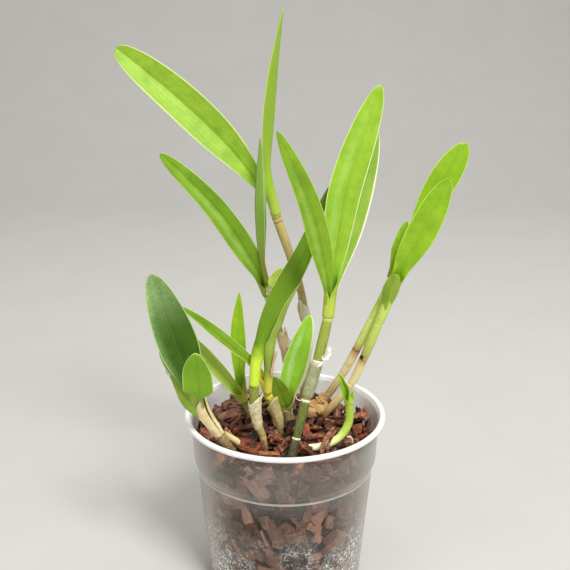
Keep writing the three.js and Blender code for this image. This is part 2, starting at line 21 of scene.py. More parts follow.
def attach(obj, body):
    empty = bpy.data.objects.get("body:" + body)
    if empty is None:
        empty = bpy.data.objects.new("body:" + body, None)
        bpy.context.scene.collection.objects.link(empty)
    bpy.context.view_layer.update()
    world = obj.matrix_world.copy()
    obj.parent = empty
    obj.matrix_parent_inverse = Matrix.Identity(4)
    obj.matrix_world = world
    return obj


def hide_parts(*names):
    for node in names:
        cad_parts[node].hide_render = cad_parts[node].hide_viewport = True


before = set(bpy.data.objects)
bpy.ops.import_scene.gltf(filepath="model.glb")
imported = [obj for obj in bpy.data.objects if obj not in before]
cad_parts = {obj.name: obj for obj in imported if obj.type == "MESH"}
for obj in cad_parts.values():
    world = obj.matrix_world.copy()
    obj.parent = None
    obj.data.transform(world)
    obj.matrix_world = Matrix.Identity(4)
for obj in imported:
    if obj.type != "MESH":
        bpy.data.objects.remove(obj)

log = logging.getLogger("orchid")

Point = tuple[float, float, float]
Row = tuple[float, float]
Range = tuple[float, float]
Number = Any
Piece = bpy.types.Object
Material = bpy.types.Material

BODY = "root"
SKIN = "skin"
GRAIN = "grain"
TONE = "tone"
MERGE = 2e-7
EDGE_CROWDING = 0.45
NO_RINGS = (2.0,)

FRONT = Vector((0.0, -1.0, 0.0))


def lerp(low: float, high: float, share: float) -> float:
    """The number that lies a share of the way from low to high."""
    return low + (high - low) * share


def ease(start: float, end: float, x: float) -> float:
    """A smooth step from 0 at start to 1 at end."""
    share = min(1.0, max(0.0, (x - start) / (end - start)))
    return share * share * (3 - 2 * share)


def shade(code: str) -> tuple[float, float, float, float]:
    """The linear colour of a web code such as '7db42d'.

    Args:
        code: Six hex digits.

    Returns:
        Its red, green, blue and alpha.
    """
    parts = [int(code[i : i + 2], 16) / 255 for i in (0, 2, 4)]
    linear = [c / 12.92 if c <= 0.04045 else ((c + 0.055) / 1.055) ** 2.4 for c in parts]
    return (*linear, 1.0)


def lively(*place: float) -> float:
    """Smooth noise from -1 to 1 at a place of up to three numbers."""
    return noise.noise(Vector((*place, 0.0, 0.0)[:3]))


def own_number(name: str, step: float) -> float:
    """A number that belongs to a name, so that no two pieces wave alike."""
    return sum(ord(letter) for letter in name) * step


def metres(sizes: Any) -> Any:
    """Millimetres, alone or in nested tuples, as metres."""
    return tuple(metres(size) for size in sizes) if isinstance(sizes, tuple) else sizes / 1000


def span(share: float, spans: int) -> tuple[int, float]:
    """Finds the span of a row of equal spans that a share of the whole falls in.

    Args:
        share: The share, from 0 to 1.
        spans: How many spans there are.

    Returns:
        The span's number and the share of it that is passed.
    """
    place = share * spans
    i = min(int(place), spans - 1)
    return i, place - i


def shell(share: float, u: float, thickness: float, squareness: int) -> float:
    """The height of a blade's skin over its middle: the upper face comes first on the way round."""
    face = 1.0 if share <= 0.5 else -1.0
    return face * thickness / 2 * math.sqrt(max(0.0, 1 - u**squareness))


class Draw:
    """A random generator with a fixed seed, the one that the solid bark chips were drawn with."""

    FACTOR: ClassVar[int] = 1664525
    STEP: ClassVar[int] = 1013904223
    SPAN: ClassVar[int] = 2**32

    def __init__(self, seed: int) -> None:
        """Starts the draws at a seed."""
        self.state = seed

    def between(self, low: float = 0.0, high: float = 1.0) -> float:
        """The next number from low to high."""
        self.state = (self.state * self.FACTOR + self.STEP) % self.SPAN
        return low + (high - low) * self.state / self.SPAN

    def each(self, *ranges: Range) -> list[float]:
        """One number from each range, in their order."""
        return [self.between(*ends) for ends in ranges]


class Route:
    """A smooth line through given points, each span taking an equal share of 0 to 1."""

    TENSION: ClassVar[float] = 0.5
    STEP: ClassVar[float] = 1e-4

    def __init__(self, points: Sequence[Point]) -> None:
        """Keeps the points, with one more past each end for the tangents there.

        Args:
            points: Two or more points.
        """
        inner = [Vector(p) for p in points]
        self.points = [2 * inner[0] - inner[1], *inner, 2 * inner[-1] - inner[-2]]
        self.spans = len(inner) - 1

    def at(self, t: float) -> Vector:
        """The point at a share of the way.

        Args:
            t: The share. Past its ends the line stands still.

        Returns:
            The point.
        """
        i, s = span(min(max(t, 0.0), 1.0), self.spans)
        before, start, end, after = self.points[i : i + 4]
        leave = (end - before) * self.TENSION
        arrive = (after - start) * self.TENSION
        square = 3 * (end - start) - 2 * leave - arrive
        cube = 2 * (start - end) + leave + arrive
        return start + leave * s + square * s**2 + cube * s**3

    def heading(self, t: float) -> Vector:
        """The direction of travel at a share of the way."""
        return (self.at(min(1.0, t + self.STEP)) - self.at(max(0.0, t - self.STEP))).normalized()

    def frame(self, t: float, face: Vector) -> tuple[Vector, Vector, Vector]:
        """The directions of a cross-section.

        Args:
            t: A share of the way.
            face: What its upper side is turned to.

        Returns:
            The directions along the line, up and out.
        """
        along = self.heading(t)
        up = (face - along * face.dot(along)).normalized()
        return along, up, along.cross(up)

    def span_length(self, i: int) -> float:
        """The straight length of one span."""
        return (self.points[i + 2] - self.points[i + 1]).length


@dataclass(frozen=True)
class Section:
    """A blade's cross-section at one place along it: it folds up at the middle and curls."""

    keel: Vector
    out: Vector
    up: Vector
    along: Vector
    half: float
    fold: float
    curl: float

    KEEL_ROUND: ClassVar[float] = 0.06

    def point(self, u: float, lift: float, slide: float = 0.0) -> Vector:
        """A point of the blade.

        Args:
            u: Place across, from -1 to 1.
            lift: Height over the middle surface.
            slide: Shift along the blade.

        Returns:
            The point in the model's frame.
        """
        reach = abs(u) * self.half
        side = math.copysign(1.0, u)
        bend = self.curl / self.half
        angle = self.fold + bend * reach
        out = side * (math.sin(angle) - math.sin(self.fold)) / bend
        up = (math.cos(self.fold) - math.cos(angle)) / bend
        middle = self.keel + self.out * out + self.up * up + self.along * slide
        lean = ease(0.0, self.KEEL_ROUND, abs(u))
        normal = self.up * math.cos(angle * lean) - self.out * side * math.sin(angle * lean)
        return middle + normal * lift


class Bench:
    """The modelling steps that all pieces share."""

    @staticmethod
    def clear() -> None:
        """Deselects every object."""
        bpy.ops.object.select_all(action="DESELECT")

    @staticmethod
    def only(piece: Piece) -> None:
        """Selects one object and makes it active.

        Args:
            piece: The object.
        """
        Bench.clear()
        piece.select_set(True)
        bpy.context.view_layer.objects.active = piece

    @staticmethod
    def pick(piece: Piece, wanted: Callable[[Vector], bool]) -> None:
        """Selects the vertices whose places pass a test, for the next edit-mode steps.

        Args:
            piece: The piece, in object mode.
            wanted: The test of a vertex's place.
        """
        for group in (piece.data.edges, piece.data.polygons):
            group.foreach_set("select", [False] * len(group))
        for vertex in piece.data.vertices:
            vertex.select = wanted(vertex.co)

    @staticmethod
    def edit(piece: Piece, *steps: Callable[[], Any], whole: bool = True) -> None:
        """Runs edit-mode steps on a whole piece, or on the vertices that were picked.

        Args:
            piece: The piece.
            *steps: Calls of edit-mode operators.
            whole: Whether all of it is selected first.
        """
        Bench.only(piece)
        bpy.ops.object.mode_set(mode="EDIT")
        if whole:
            bpy.ops.mesh.select_all(action="SELECT")
        for step in steps:
            step()
        bpy.ops.object.mode_set(mode="OBJECT")

    @staticmethod
    def finish(piece: Piece, kind: str, **settings: Any) -> None:
        """Adds a modifier and applies it.

        Args:
            piece: The piece.
            kind: The modifier's type.
            **settings: Its settings by name.
        """
        Bench.only(piece)
        modifier = piece.modifiers.new(kind.lower(), kind)
        for name, value in settings.items():
            setattr(modifier, name, value)
        bpy.ops.object.modifier_apply(modifier=modifier.name)

    @staticmethod
    def label(piece: Piece, name: str) -> None:
        """Names a piece and its mesh."""
        piece.name = name
        piece.data.name = name

    @staticmethod
    def add(name: str, data: bpy.types.ID, place: Sequence[float] = (0.0, 0.0, 0.0)) -> Piece:
        """Adds a mesh, a lamp or a camera to the scene.

        Args:
            name: The object's name.
            data: The mesh, lamp or camera.
            place: Where it goes.

        Returns:
            The object.
        """
        thing = bpy.data.objects.new(name, data)
        thing.location = place
        bpy.context.scene.collection.objects.link(thing)
        return thing

    @staticmethod
    def wrapped(
        name: str, around: int, rows: Sequence[Row], spot: Callable[[float, float, float], Vector]
    ) -> Piece:
        """Rolls a grid into a closed skin round a line.

        Args:
            name: The piece's name.
            around: Faces round the line.
            rows: Each row's place along the line and its fullness, which is 0 where the skin closes.
            spot: Gives a vertex from its share of the way round, its place along and its fullness.

        Returns:
            The piece, whose UV map holds the share round and the place along.
        """
        Bench.clear()
        bpy.ops.mesh.primitive_grid_add(
            x_subdivisions=around, y_subdivisions=len(rows) - 1, size=1.0, calc_uvs=True
        )
        piece = bpy.context.object
        Bench.label(piece, name)
        skin = piece.data.uv_layers[0]
        skin.name = SKIN
        for loop in piece.data.loops:
            j, i = divmod(loop.vertex_index, around + 1)
            skin.data[loop.index].uv = (i / around, rows[j][0])
        for vertex in piece.data.vertices:
            j, i = divmod(vertex.index, around + 1)
            vertex.co = spot(i / around, *rows[j])
        Bench.edit(
            piece,
            lambda: bpy.ops.mesh.remove_doubles(threshold=MERGE),
            lambda: bpy.ops.mesh.normals_make_consistent(inside=False),
        )
        bpy.ops.object.shade_smooth()
        return piece

    @staticmethod
    def joined(name: str, pieces: Sequence[Piece]) -> Piece:
        """Makes one piece of several.

        Args:
            name: Its name.
            pieces: The pieces, which become one.

        Returns:
            The whole.
        """
        Bench.only(pieces[0])
        for piece in pieces:
            piece.select_set(True)
        bpy.ops.object.join()
        whole = bpy.context.object
        Bench.label(whole, name)
        return whole

    @staticmethod
    def dressed(piece: Piece, material: Material, slot: str, *nodes: str) -> Piece:
        """Gives a piece its material and body, and hides the solids that it stands for.

        Args:
            piece: The piece.
            material: Its material.
            slot: Not used.
            *nodes: The solids that it stands for, or none for fine detail.

        Returns:
            The piece.
        """
        piece.data.materials.clear()
        piece.data.materials.append(material)
        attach(piece, BODY)
        if nodes:
            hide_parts(*nodes)
        log.info("%s: %d faces", piece.name, len(piece.data.polygons))
        return piece


class Val:
    """A shader socket that stands for a number or a colour in an expression."""

    def __init__(self, paint: "Paint", socket: bpy.types.NodeSocket) -> None:
        """Keeps the socket and the node tree that it is in."""
        self.paint = paint
        self.socket = socket

    def __add__(self, other: Number) -> "Val":
        """The sum."""
        return self.paint.math("ADD", self, other)

    __radd__ = __add__

    def __sub__(self, other: Number) -> "Val":
        """The difference."""
        return self.paint.math("SUBTRACT", self, other)

    def __rsub__(self, other: Number) -> "Val":
        """The difference, with this value taken away."""
        return self.paint.math("SUBTRACT", other, self)

    def __mul__(self, other: Number) -> "Val":
        """The product."""
        return self.paint.math("MULTIPLY", self, other)

    __rmul__ = __mul__

    def __pow__(self, other: Number) -> "Val":
        """The power."""
        return self.paint.math("POWER", self, other)

    def __abs__(self) -> "Val":
        """The size without the sign."""
        return self.paint.math("ABSOLUTE", self)

    def wave(self) -> "Val":
        """The sine, from -1 to 1."""
        return self.paint.math("SINE", self)

    def turned(self) -> "Val":
        """The cosine, from -1 to 1."""
        return self.paint.math("COSINE", self)

    def over(self, other: Number) -> "Val":
        """1 where this value is above the other, and else 0."""
        return self.paint.math("GREATER_THAN", self, other)

    def step(self, start: float, end: float) -> "Val":
        """A smooth step from 0 at start to 1 at end, either of which may be the larger.

        Args:
            start: Where it is 0.
            end: Where it is 1.

        Returns:
            The step as a value.
        """
        falls = start > end
        low, high = (end, start) if falls else (start, end)
        ends = {3: 1.0, 4: 0.0} if falls else {3: 0.0, 4: 1.0}
        settings = {"interpolation_type": "SMOOTHSTEP"}
        made = self.paint.node("ShaderNodeMapRange", settings, {0: self, 1: low, 2: high, **ends})
        return Val(self.paint, made.outputs[0])


class Paint:
    """One material: its nodes are added by expressions and end in the shader's sockets."""

    def __init__(self, name: str, **constants: Any) -> None:
        """Starts a material and sets the shader's constants, such as roughness=0.5.

        Args:
            name: The material's name.
            **constants: The shader's sockets by name, and their values.
        """
        self.material = bpy.data.materials.new(name)
        self.material.use_nodes = True
        self.tree = self.material.node_tree
        self.shader = self.tree.nodes["Principled BSDF"]
        for key, value in constants.items():
            self.shader.inputs[key.replace("_", " ").title().replace("Ior", "IOR")].default_value = value

    def node(self, kind: str, settings: dict[str, Any], inputs: dict[Any, Any]) -> bpy.types.Node:
        """Adds a node.

        Args:
            kind: The node's type.
            settings: Its settings, set first; "stops" are a ramp's places and colours.
            inputs: The values or links of its sockets, by index or name.

        Returns:
            The node.
        """
        made = self.tree.nodes.new(kind)
        for name, value in settings.items():
            if name == "stops":
                self._set_stops(made.color_ramp, value)
            else:
                setattr(made, name, value)
        for key, value in inputs.items():
            self.feed(made.inputs[key], value)
        return made

    @staticmethod
    def _set_stops(ramp: bpy.types.ColorRamp, stops: Sequence[tuple[float, str]]) -> None:
        """Sets a ramp's stops.

        Args:
            ramp: The ramp.
            stops: Its places and colours.
        """
        while len(ramp.elements) < len(stops):
            ramp.elements.new(0.5)
        for element, (place, code) in zip(ramp.elements, stops):
            element.position = place
            element.color = shade(code)

    def feed(self, socket: bpy.types.NodeSocket, value: Any) -> None:
        """Links a value to a socket, or sets the socket to a constant.

        Args:
            socket: The socket.
            value: An expression, a web colour or a plain value.
        """
        if isinstance(value, Val):
            self.tree.links.new(value.socket, socket)
        elif isinstance(value, str):
            socket.default_value = shade(value)
        else:
            socket.default_value = value

    def math(self, operation: str, *values: Number) -> Val:
        """One step of arithmetic."""
        made = self.node("ShaderNodeMath", {"operation": operation}, dict(enumerate(values)))
        return Val(self, made.outputs[0])

    def blend(self, share: Number, low: Any, high: Any) -> Val:
        """A colour that goes from low to high as the share goes from 0 to 1.

        Args:
            share: The share of high.
            low: The colour at 0.
            high: The colour at 1.

        Returns:
            The colour.
        """
        settings = {"data_type": "RGBA", "clamp_factor": True}
        made = self.node("ShaderNodeMix", settings, {0: share, 6: low, 7: high})
        return Val(self, made.outputs[2])

    def ramp(self, share: Val, stops: Sequence[tuple[float, str]]) -> Val:
        """A colour that follows a ramp."""
        made = self.node("ShaderNodeValToRGB", {"stops": stops}, {0: share})
        return Val(self, made.outputs[0])

    def place(self) -> Val:
        """The place in the model's frame."""
        return Val(self, self.node("ShaderNodeTexCoord", {}, {}).outputs["Object"])

    def axes(self, vector: Val) -> list[Val]:
        """The three numbers of a vector."""
        made = self.node("ShaderNodeSeparateXYZ", {}, {0: vector})
        return [Val(self, out) for out in made.outputs]

    def vector(self, *numbers: Number) -> Val:
        """A vector from three numbers."""
        return Val(self, self.node("ShaderNodeCombineXYZ", {}, dict(enumerate(numbers))).outputs[0])

    def skin(self) -> tuple[Val, Val]:
        """The share round the piece and the place along it.

        Returns:
            Both values.
        """
        made = self.node("ShaderNodeUVMap", {"uv_map": SKIN}, {})
        across, along, _ = self.axes(Val(self, made.outputs[0]))
        return across, along

    def attribute(self, name: str, output: str) -> Val:
        """One of the mesh's own attributes, as its Fac or its Vector."""
        made = self.node("ShaderNodeAttribute", {"attribute_name": name}, {})
        return Val(self, made.outputs[output])

    def stretched(self, where: Val, factors: Point) -> Val:
        """A vector scaled by three factors."""
        made = self.node("ShaderNodeVectorMath", {"operation": "MULTIPLY"}, {0: where, 1: factors})
        return Val(self, made.outputs[0])

    def cloud(self, where: Val, scale: float, detail: float = 3.0, rough: float = 0.5) -> Val:
        """Soft noise from about 0.2 to 0.8."""
        inputs = {"Vector": where, "Scale": scale, "Detail": detail, "Roughness": rough}
        return Val(self, self.node("ShaderNodeTexNoise", {}, inputs).outputs["Fac"])

    def round_skin(self, turns: float, length: float) -> Val:
        """A place on a tube's skin with no seam, for streaks that run along it.

        Args:
            turns: How often the streaks change round the tube.
            length: How often they change along it.

        Returns:
            The place as a vector.
        """
        across, along = self.skin()
        angle = across * math.tau
        return self.vector(angle.turned() * turns, angle.wave() * turns, along * length)

    def close(self, relief: Val | None = None, height: float = 0.0002, **links: Any) -> Material:
        """Links the finished expressions to the shader.

        Args:
            relief: The bump's height as a number from 0 to 1.
            height: What 1 stands for.
            **links: The shader's sockets by name, such as base_color.

        Returns:
            The material.
        """
        for key, value in links.items():
            self.feed(self.shader.inputs[key.replace("_", " ").title()], value)
        if relief is not None:
            made = self.node("ShaderNodeBump", {}, {"Distance": height, "Height": relief, "Strength": 1.0})
            self.tree.links.new(made.outputs[0], self.shader.inputs["Normal"])
        return self.material


@dataclass(frozen=True)
class LeafFinish:
    """A fleshy strap leaf: lime green and softly mottled, with a pale thin margin."""

    bright: str = "93b92a"
    deep: str = "547f10"
    foot: str = "a3b93a"
    edge: str = "dbe79c"
    under: str = "8aa838"
    foot_reach: float = 0.22
    tip_depth: float = 0.1
    crease: float = 0.35
    veins: float = 0.05
    # painted sheen: strength of pale patches that stand in for reflected light towards the tip and along
    # the left margin
    painted_sheen_share: float = 0.0
    pale_side: float = 0.0
    pale_reach: float = 0.83
    # painted highlight: strength of a pale band that stands in for light reflected along one half of the
    # blade
    painted_highlight_share: float = 0.0
    foot_full: float = 0.35
    roughness: float = 0.5

    PATCH_SCALE: ClassVar[float] = 60.0
    DRIFT_SCALE: ClassVar[float] = 190.0
    DOT_SCALE: ClassVar[float] = 1300.0
    GRAIN_SCALE: ClassVar[Point] = (700.0, 700.0, 1100.0)
    # Where the painted highlight band lies across the blade, and how wide it is.
    HIGHLIGHT_PLACE: ClassVar[float] = -0.38
    HIGHLIGHT_WIDTH: ClassVar[float] = 0.34
    VEIN_COUNT: ClassVar[float] = 9.0
    EDGE: ClassVar[tuple[float, float]] = (0.93, 0.98)
    PALE: ClassVar[str] = "eef3c8"
    # The colour of the painted sheen and of the painted highlight band.
    PAINTED_SHEEN: ClassVar[str] = "c2e096"

    def paint(self, name: str) -> Material:
        """Makes the material: the ground first, then the foot, the painted highlight and sheen, and the
        margin over it.

        Args:
            name: Its name.

        Returns:
            The material.
        """
        paint = Paint(
            name,
            subsurface_weight=0.1,
            subsurface_radius=(0.7, 1.0, 0.05),
            subsurface_scale=0.002,
            specular_ior_level=0.24,
        )
        share, along = paint.skin()
        turn = (share * math.tau).turned() * -1.0
        side = turn * (turn * turn * EDGE_CROWDING + (1 - EDGE_CROWDING))
        across = abs(side)
        place = paint.place()
        patches = paint.cloud(place, self.PATCH_SCALE, 5.0, 0.6)
        drift = paint.cloud(place, self.DRIFT_SCALE, 3.0)
        dots = paint.cloud(place, self.DOT_SCALE, 2.0)
        streaks = paint.cloud(paint.vector(side * 4.0, along * 2.2, patches * 2.5), 1.0, 3.0, 0.55)
        veins = ((across + (drift - 0.5) * 0.1) * (math.pi * self.VEIN_COUNT)).wave() * 0.5 + 0.5
        fine = veins**3
        depth = along.step(0.3, 1.0) * self.tip_depth + (patches - 0.5) * 1.3 + (streaks - 0.5) * 0.35
        depth = depth + 0.42 + (drift - 0.5) * 0.6
        colour = paint.blend(depth, self.bright, self.deep)
        colour = paint.blend(dots.step(0.5, 0.75) * 0.25, colour, self.deep)
        colour = paint.blend(fine * self.veins, colour, self.edge)
        crease = across.step(0.06, 0.0) * along.step(1.0, 0.75) * along.step(0.15, 0.4)
        colour = paint.blend(crease * self.crease, colour, self.deep)
        colour = paint.blend(share.over(0.5) * 0.6, colour, self.under)
        foot = (along + (drift - 0.5) * 0.08).step(self.foot_reach, self.foot_reach * self.foot_full)
        colour = paint.blend(foot * 0.95, colour, self.foot)
        # Painted highlight: a pale band along one half of the blade stands in for reflected light.
        if self.painted_highlight_share > 0:
            highlight_band = abs(side - self.HIGHLIGHT_PLACE + (patches - 0.5) * 0.5).step(self.HIGHLIGHT_WIDTH, 0.0)
            highlight_band = highlight_band * along.step(0.12, 0.3) * along.step(1.0, 0.7)
            colour = paint.blend(highlight_band * (streaks + 0.3) * self.painted_highlight_share, colour, self.PAINTED_SHEEN)
        # Painted sheen: pale patches towards the tip and along the left margin stand in for reflected
        # light.
        if self.painted_sheen_share > 0:
            grain = (paint.cloud(paint.stretched(place, self.GRAIN_SCALE), 1.0, 2.0) - 0.5) * 0.7
            left = side.step(-0.5, -1.0) * along.step(0.2, 0.5)
            sheen_mask = (along.step(0.6, 1.0) + left * 0.7) * (patches + grain)
            colour = paint.blend(sheen_mask * self.painted_sheen_share, colour, self.PAINTED_SHEEN)
        rim = across.step(*self.EDGE) * along.step(0.2, 0.45) * 0.75
        if self.pale_side > 0:
            pale = (side + (drift - 0.5) * 0.08).step(self.pale_reach, self.pale_reach + 0.08)
            rim = paint.math("MAXIMUM", rim, pale * along.step(0.05, 0.15) * self.pale_side)
        colour = paint.blend(rim, colour, self.PALE if self.pale_side > 0 else self.edge)
        rough = patches * 0.14 + (self.roughness - 0.07)
        return paint.close(fine * 0.3 + dots * 0.7, 0.00005, base_color=colour, roughness=rough)


@dataclass(frozen=True)
class StemFinish:
    """A stem's skin in bands along it, with lengthwise fibres and a line at each joint."""

    bands: tuple[tuple[float, str], ...]
    fibre: str = "d9caa0"
    fibre_share: float = 0.4
    ring: str = "5a4a22"
    rings: tuple[float, ...] = ()
    ring_share: float = 0.6
    ring_width: float = 1.0
    patchy: bool = False
    roughness: float = 0.55
    relief: float = 0.00012

    SPOT: ClassVar[str] = "4a3517"
    RING_WIDTH: ClassVar[float] = 0.01

    def paint(self, name: str) -> Material:
        """Makes the material.

        Args:
            name: Its name.

        Returns:
            The material.
        """
        paint = Paint(
            name,
            subsurface_weight=0.08,
            subsurface_radius=(0.8, 0.9, 0.3),
            subsurface_scale=0.002,
            specular_ior_level=0.3,
        )
        share, along = paint.skin()
        place = paint.place()
        spots = paint.cloud(place, 240.0, 4.0)
        fibres = paint.cloud(paint.round_skin(5.0, 9.0), 3.2, 5.0, 0.65)
        colour = paint.ramp(along + (spots - 0.5) * 0.05, self.bands)
        colour = paint.blend(fibres.step(0.48, 0.66) * self.fibre_share, colour, self.fibre)
        colour = paint.blend(spots.step(0.62, 0.76) * 0.3, colour, self.SPOT)
        for ring in self.rings:
            edge = self.RING_WIDTH * self.ring_width
            line = abs(along + (spots - 0.5) * (1.2 * edge) - ring).step(edge, edge * 0.4)
            if self.patchy:
                line = line * share.step(0.4, 0.6) * share.step(1.02, 0.88)
            colour = paint.blend(line * self.ring_share, colour, self.ring)
        rough = fibres * 0.3 + (self.roughness - 0.15)
        return paint.close(fibres * 0.8 + spots * 0.2, self.relief, base_color=colour, roughness=rough)


@dataclass(frozen=True)
class SleeveFinish:
    """A dry papery sheath with fine lengthwise lines, stained here and there."""

    paper: str = "cbb98c"
    stain: str = "8a6f3f"
    pale: str = "efe6c8"
    stain_share: float = 0.5
    pale_share: float = 0.6

    def paint(self, name: str) -> Material:
        """Makes the material.

        Args:
            name: Its name.

        Returns:
            The material.
        """
        paint = Paint(
            name, subsurface_weight=0.15, subsurface_radius=(1.0, 0.8, 0.5), subsurface_scale=0.0015
        )
        _, along = paint.skin()
        lines = paint.cloud(paint.round_skin(9.0, 2.0), 4.0, 5.0, 0.6)
        stains = paint.cloud(paint.place(), 130.0, 5.0, 0.6)
        colour = paint.blend(stains.step(0.45, 0.68) * self.stain_share, self.paper, self.stain)
        colour = paint.blend(lines.step(0.47, 0.62) * self.pale_share, colour, self.pale)
        colour = paint.blend(along.step(0.9, 1.0) * 0.6, colour, self.pale)
        rough = lines * 0.2 + 0.5
        return paint.close(lines + stains * 0.3, 0.0001, base_color=colour, roughness=rough)


@dataclass(frozen=True)
class BarkFinish:
    """Split bark: brown fibres, with orange fresh faces, pale dust and nearly black old ones."""

    stops: tuple[tuple[float, str], ...] = (
        (0.12, "0d0705"),
        (0.3, "2a130b"),
        (0.46, "512818"),
        (0.62, "7a4029"),
        (0.78, "a26445"),
        (0.92, "c8906d"),
        (1.0, "dfb898"),
    )
    fresh: str = "a8501e"
    dust: str = "c69a7c"
    tone_share: float = 0.58
    fibre_share: float = 1.5
    blot_share: float = 1.3
    base: float = 0.22
    relief: float = 0.0011

    FIBRES: ClassVar[Point] = (150.0, 1100.0, 1100.0)
    WARM_CYCLE: ClassVar[float] = 7.3
    DUST_CYCLE: ClassVar[float] = 13.7

    def paint(self, name: str) -> Material:
        """Makes the material.

        Args:
            name: Its name.

        Returns:
            The material.
        """
        paint = Paint(name, specular_ior_level=0.45)
        grain = paint.attribute(GRAIN, "Vector")
        tone = paint.attribute(TONE, "Fac")
        fibres = paint.cloud(paint.stretched(grain, self.FIBRES), 1.0, 5.0, 0.7)
        blots = paint.cloud(paint.place(), 260.0, 5.0, 0.65)
        share = tone * self.tone_share + (fibres - 0.5) * self.fibre_share + self.base
        share = share + (blots - 0.5) * self.blot_share
        colour = paint.ramp(share, self.stops)
        warm = paint.math("FRACT", tone * self.WARM_CYCLE).step(0.55, 0.9) * blots.step(0.35, 0.6)
        colour = paint.blend(warm * fibres.step(0.4, 0.55) * 0.7, colour, self.fresh)
        dusty = paint.math("FRACT", tone * self.DUST_CYCLE).step(0.6, 0.95) * fibres.step(0.4, 0.7)
        colour = paint.blend(dusty * 0.6, colour, self.dust)
        rough = fibres * 0.5 + 0.3
        return paint.close(fibres + blots * 0.6, self.relief, base_color=colour, roughness=rough)


@dataclass(frozen=True)
class PlasticFinish:
    """Thin clear plastic with a frosted collar, a pale bead, lime specks and old water marks."""

    tint: str = "a9a39b"
    white: str = "fbfbf9"
    frost: float = 0.2
    clear: float = 0.06
    bead: float = 0.82
    ring: float = 0.5

    def paint(self, name: str, rim: float, step: float) -> Material:
        """Makes the material.

        Args:
            name: Its name.
            rim: Height of the bead's underside.
            step: Height of the ring where the wall steps in.

        Returns:
            The material.
        """
        paint = Paint(name, ior=1.49, coat_weight=0.5, coat_roughness=0.12)
        place = paint.place()
        height = paint.axes(place)[2]
        haze = paint.cloud(place, 34.0, 4.0, 0.6)
        scuffs = paint.cloud(place, 620.0, 5.0, 0.7)
        wander = paint.cloud(place, 150.0, 4.0, 0.6)
        dust = paint.cloud(place, 2600.0, 1.0)
        slant = Val(paint, paint.node("ShaderNodeLayerWeight", {}, {"Blend": 0.5}).outputs["Facing"])
        low = height.step(step - 0.01, step - 0.05)
        bare = height.step(step + 0.006, step - 0.016)
        body = self.frost + (haze - 0.5) * 0.25 - bare * (self.frost - self.clear)
        body = body + slant.step(0.28, 0.85) * 0.62
        patches = (haze * 0.6 + wander * 0.4 + slant * 0.22).step(0.54, 0.64) * low
        lines = abs(wander - 0.5).step(0.016, 0.005) * scuffs.step(0.42, 0.52)
        coarse = paint.cloud(place, 260.0, 5.0, 0.75)
        flecks = (scuffs.step(0.58, 0.63) + lines + coarse.step(0.6, 0.66)) * patches
        grit = dust.step(0.68, 0.76) * 0.4
        ring = abs(height - step).step(0.0006, 0.0002)
        bead = height.step(rim - 0.0006, rim + 0.0004)
        alpha = paint.math("MAXIMUM", body + patches * 0.06 + flecks * 0.75 + grit * 0.4, ring * self.ring)
        alpha = paint.math("MAXIMUM", alpha, bead * (self.bead + (haze - 0.5) * 0.3))
        colour = paint.blend(flecks + grit + bead + ring, self.tint, self.white)
        return paint.close(base_color=colour, alpha=alpha, roughness=haze * 0.2 + 0.2)


class LeafTone(Enum):
    """The colours that the leaves show."""

    LIME = LeafFinish(bright="90b426", deep="4f7a10", edge="b6d062", painted_highlight_share=0.15)
    DARK = LeafFinish(bright="8cb422", deep="56820e", painted_highlight_share=0.25, edge="c4d89a", foot="8fa82c")
    BIG = LeafFinish(bright="a2c636", deep="629014", foot="a4b83c", edge="e6eeb0", tip_depth=0.0,
                     crease=0.45)
    FRESH = LeafFinish(bright="a0c628", deep="66980c", foot="b2c44e", under="9cbc38", edge="c8de78",
                       tip_depth=0.0)
    TALL = LeafFinish(bright="a8cf38", deep="6c9e14", foot="b2c44e", under="98b838", edge="e6f0b8",
                      tip_depth=0.0, painted_highlight_share=0.2)
    NEW = LeafFinish(bright="e2f47c", deep="c4de54", foot="dde680", under="d4ea6c", tip_depth=0.0,
                     crease=0.1)
    ROUND = LeafFinish(bright="94c022", deep="68a012", foot="94a83a", veins=0.02, crease=0.5,
                       tip_depth=0.0)
    DEEP = LeafFinish(bright="7c961e", deep="4d680e", foot="8c9c2c", edge="9fb24c", crease=0.2)
    OLIVE = LeafFinish(bright="c2dc5e", deep="a4c646", foot="c8da62", under="acc456", edge="d6e29c",
                       crease=0.15)
    BROAD = LeafFinish(bright="6e9212", deep="366002", foot="cce444", foot_reach=0.31, foot_full=0.5,
                       under="6a8c12", edge="b4cc70", crease=0.1)
    YELLOW_FOOT = LeafFinish(bright="86a822", deep="4f780e", foot="eee24e", foot_reach=0.36,
                             foot_full=0.7, crease=0.15)
    FOLDED = LeafFinish(bright="98b040", deep="6c8c28", foot="e2da54", foot_reach=0.2, under="98ae46",
                        edge="f2f6dc", crease=0.1)
    SHEATH = LeafFinish(bright="98b83c", deep="6c8c22", foot="9ab43e", under="90ae3c", edge="a8bc60",
                        crease=0.1)
    # Leaf 1a: dark green, with a painted sheen towards the tip and along the left margin.
    PAINTED_SHEEN = LeafFinish(bright="42680e", deep="1e4004", foot="a2b644", edge="b4cc8c", painted_sheen_share=0.6,
                        crease=0.6, veins=0.015)
    # Leaf 5a: a strong painted highlight band along its left half, and a pale right margin.
    GLOSSY = LeafFinish(bright="aee042", deep="78b422", foot="c0d858", painted_highlight_share=0.75, pale_side=1.0,
                        pale_reach=0.74, crease=0.5, tip_depth=0.0)
    PAPER_EDGE = LeafFinish(bright="9dbc48", deep="6f9a2c", under="8fb33a", pale_side=1.0, crease=0.1)
    OLD_FOOT = LeafFinish(foot="8a8c2e", foot_reach=0.42, bright="86ac42", deep="5a8026", under="88aa46",
                          edge="ccdca0")
    TATTERED = LeafFinish(bright="a8ca4a", deep="82a630", edge="d4dca0", foot="c2cc6c", crease=0.1)


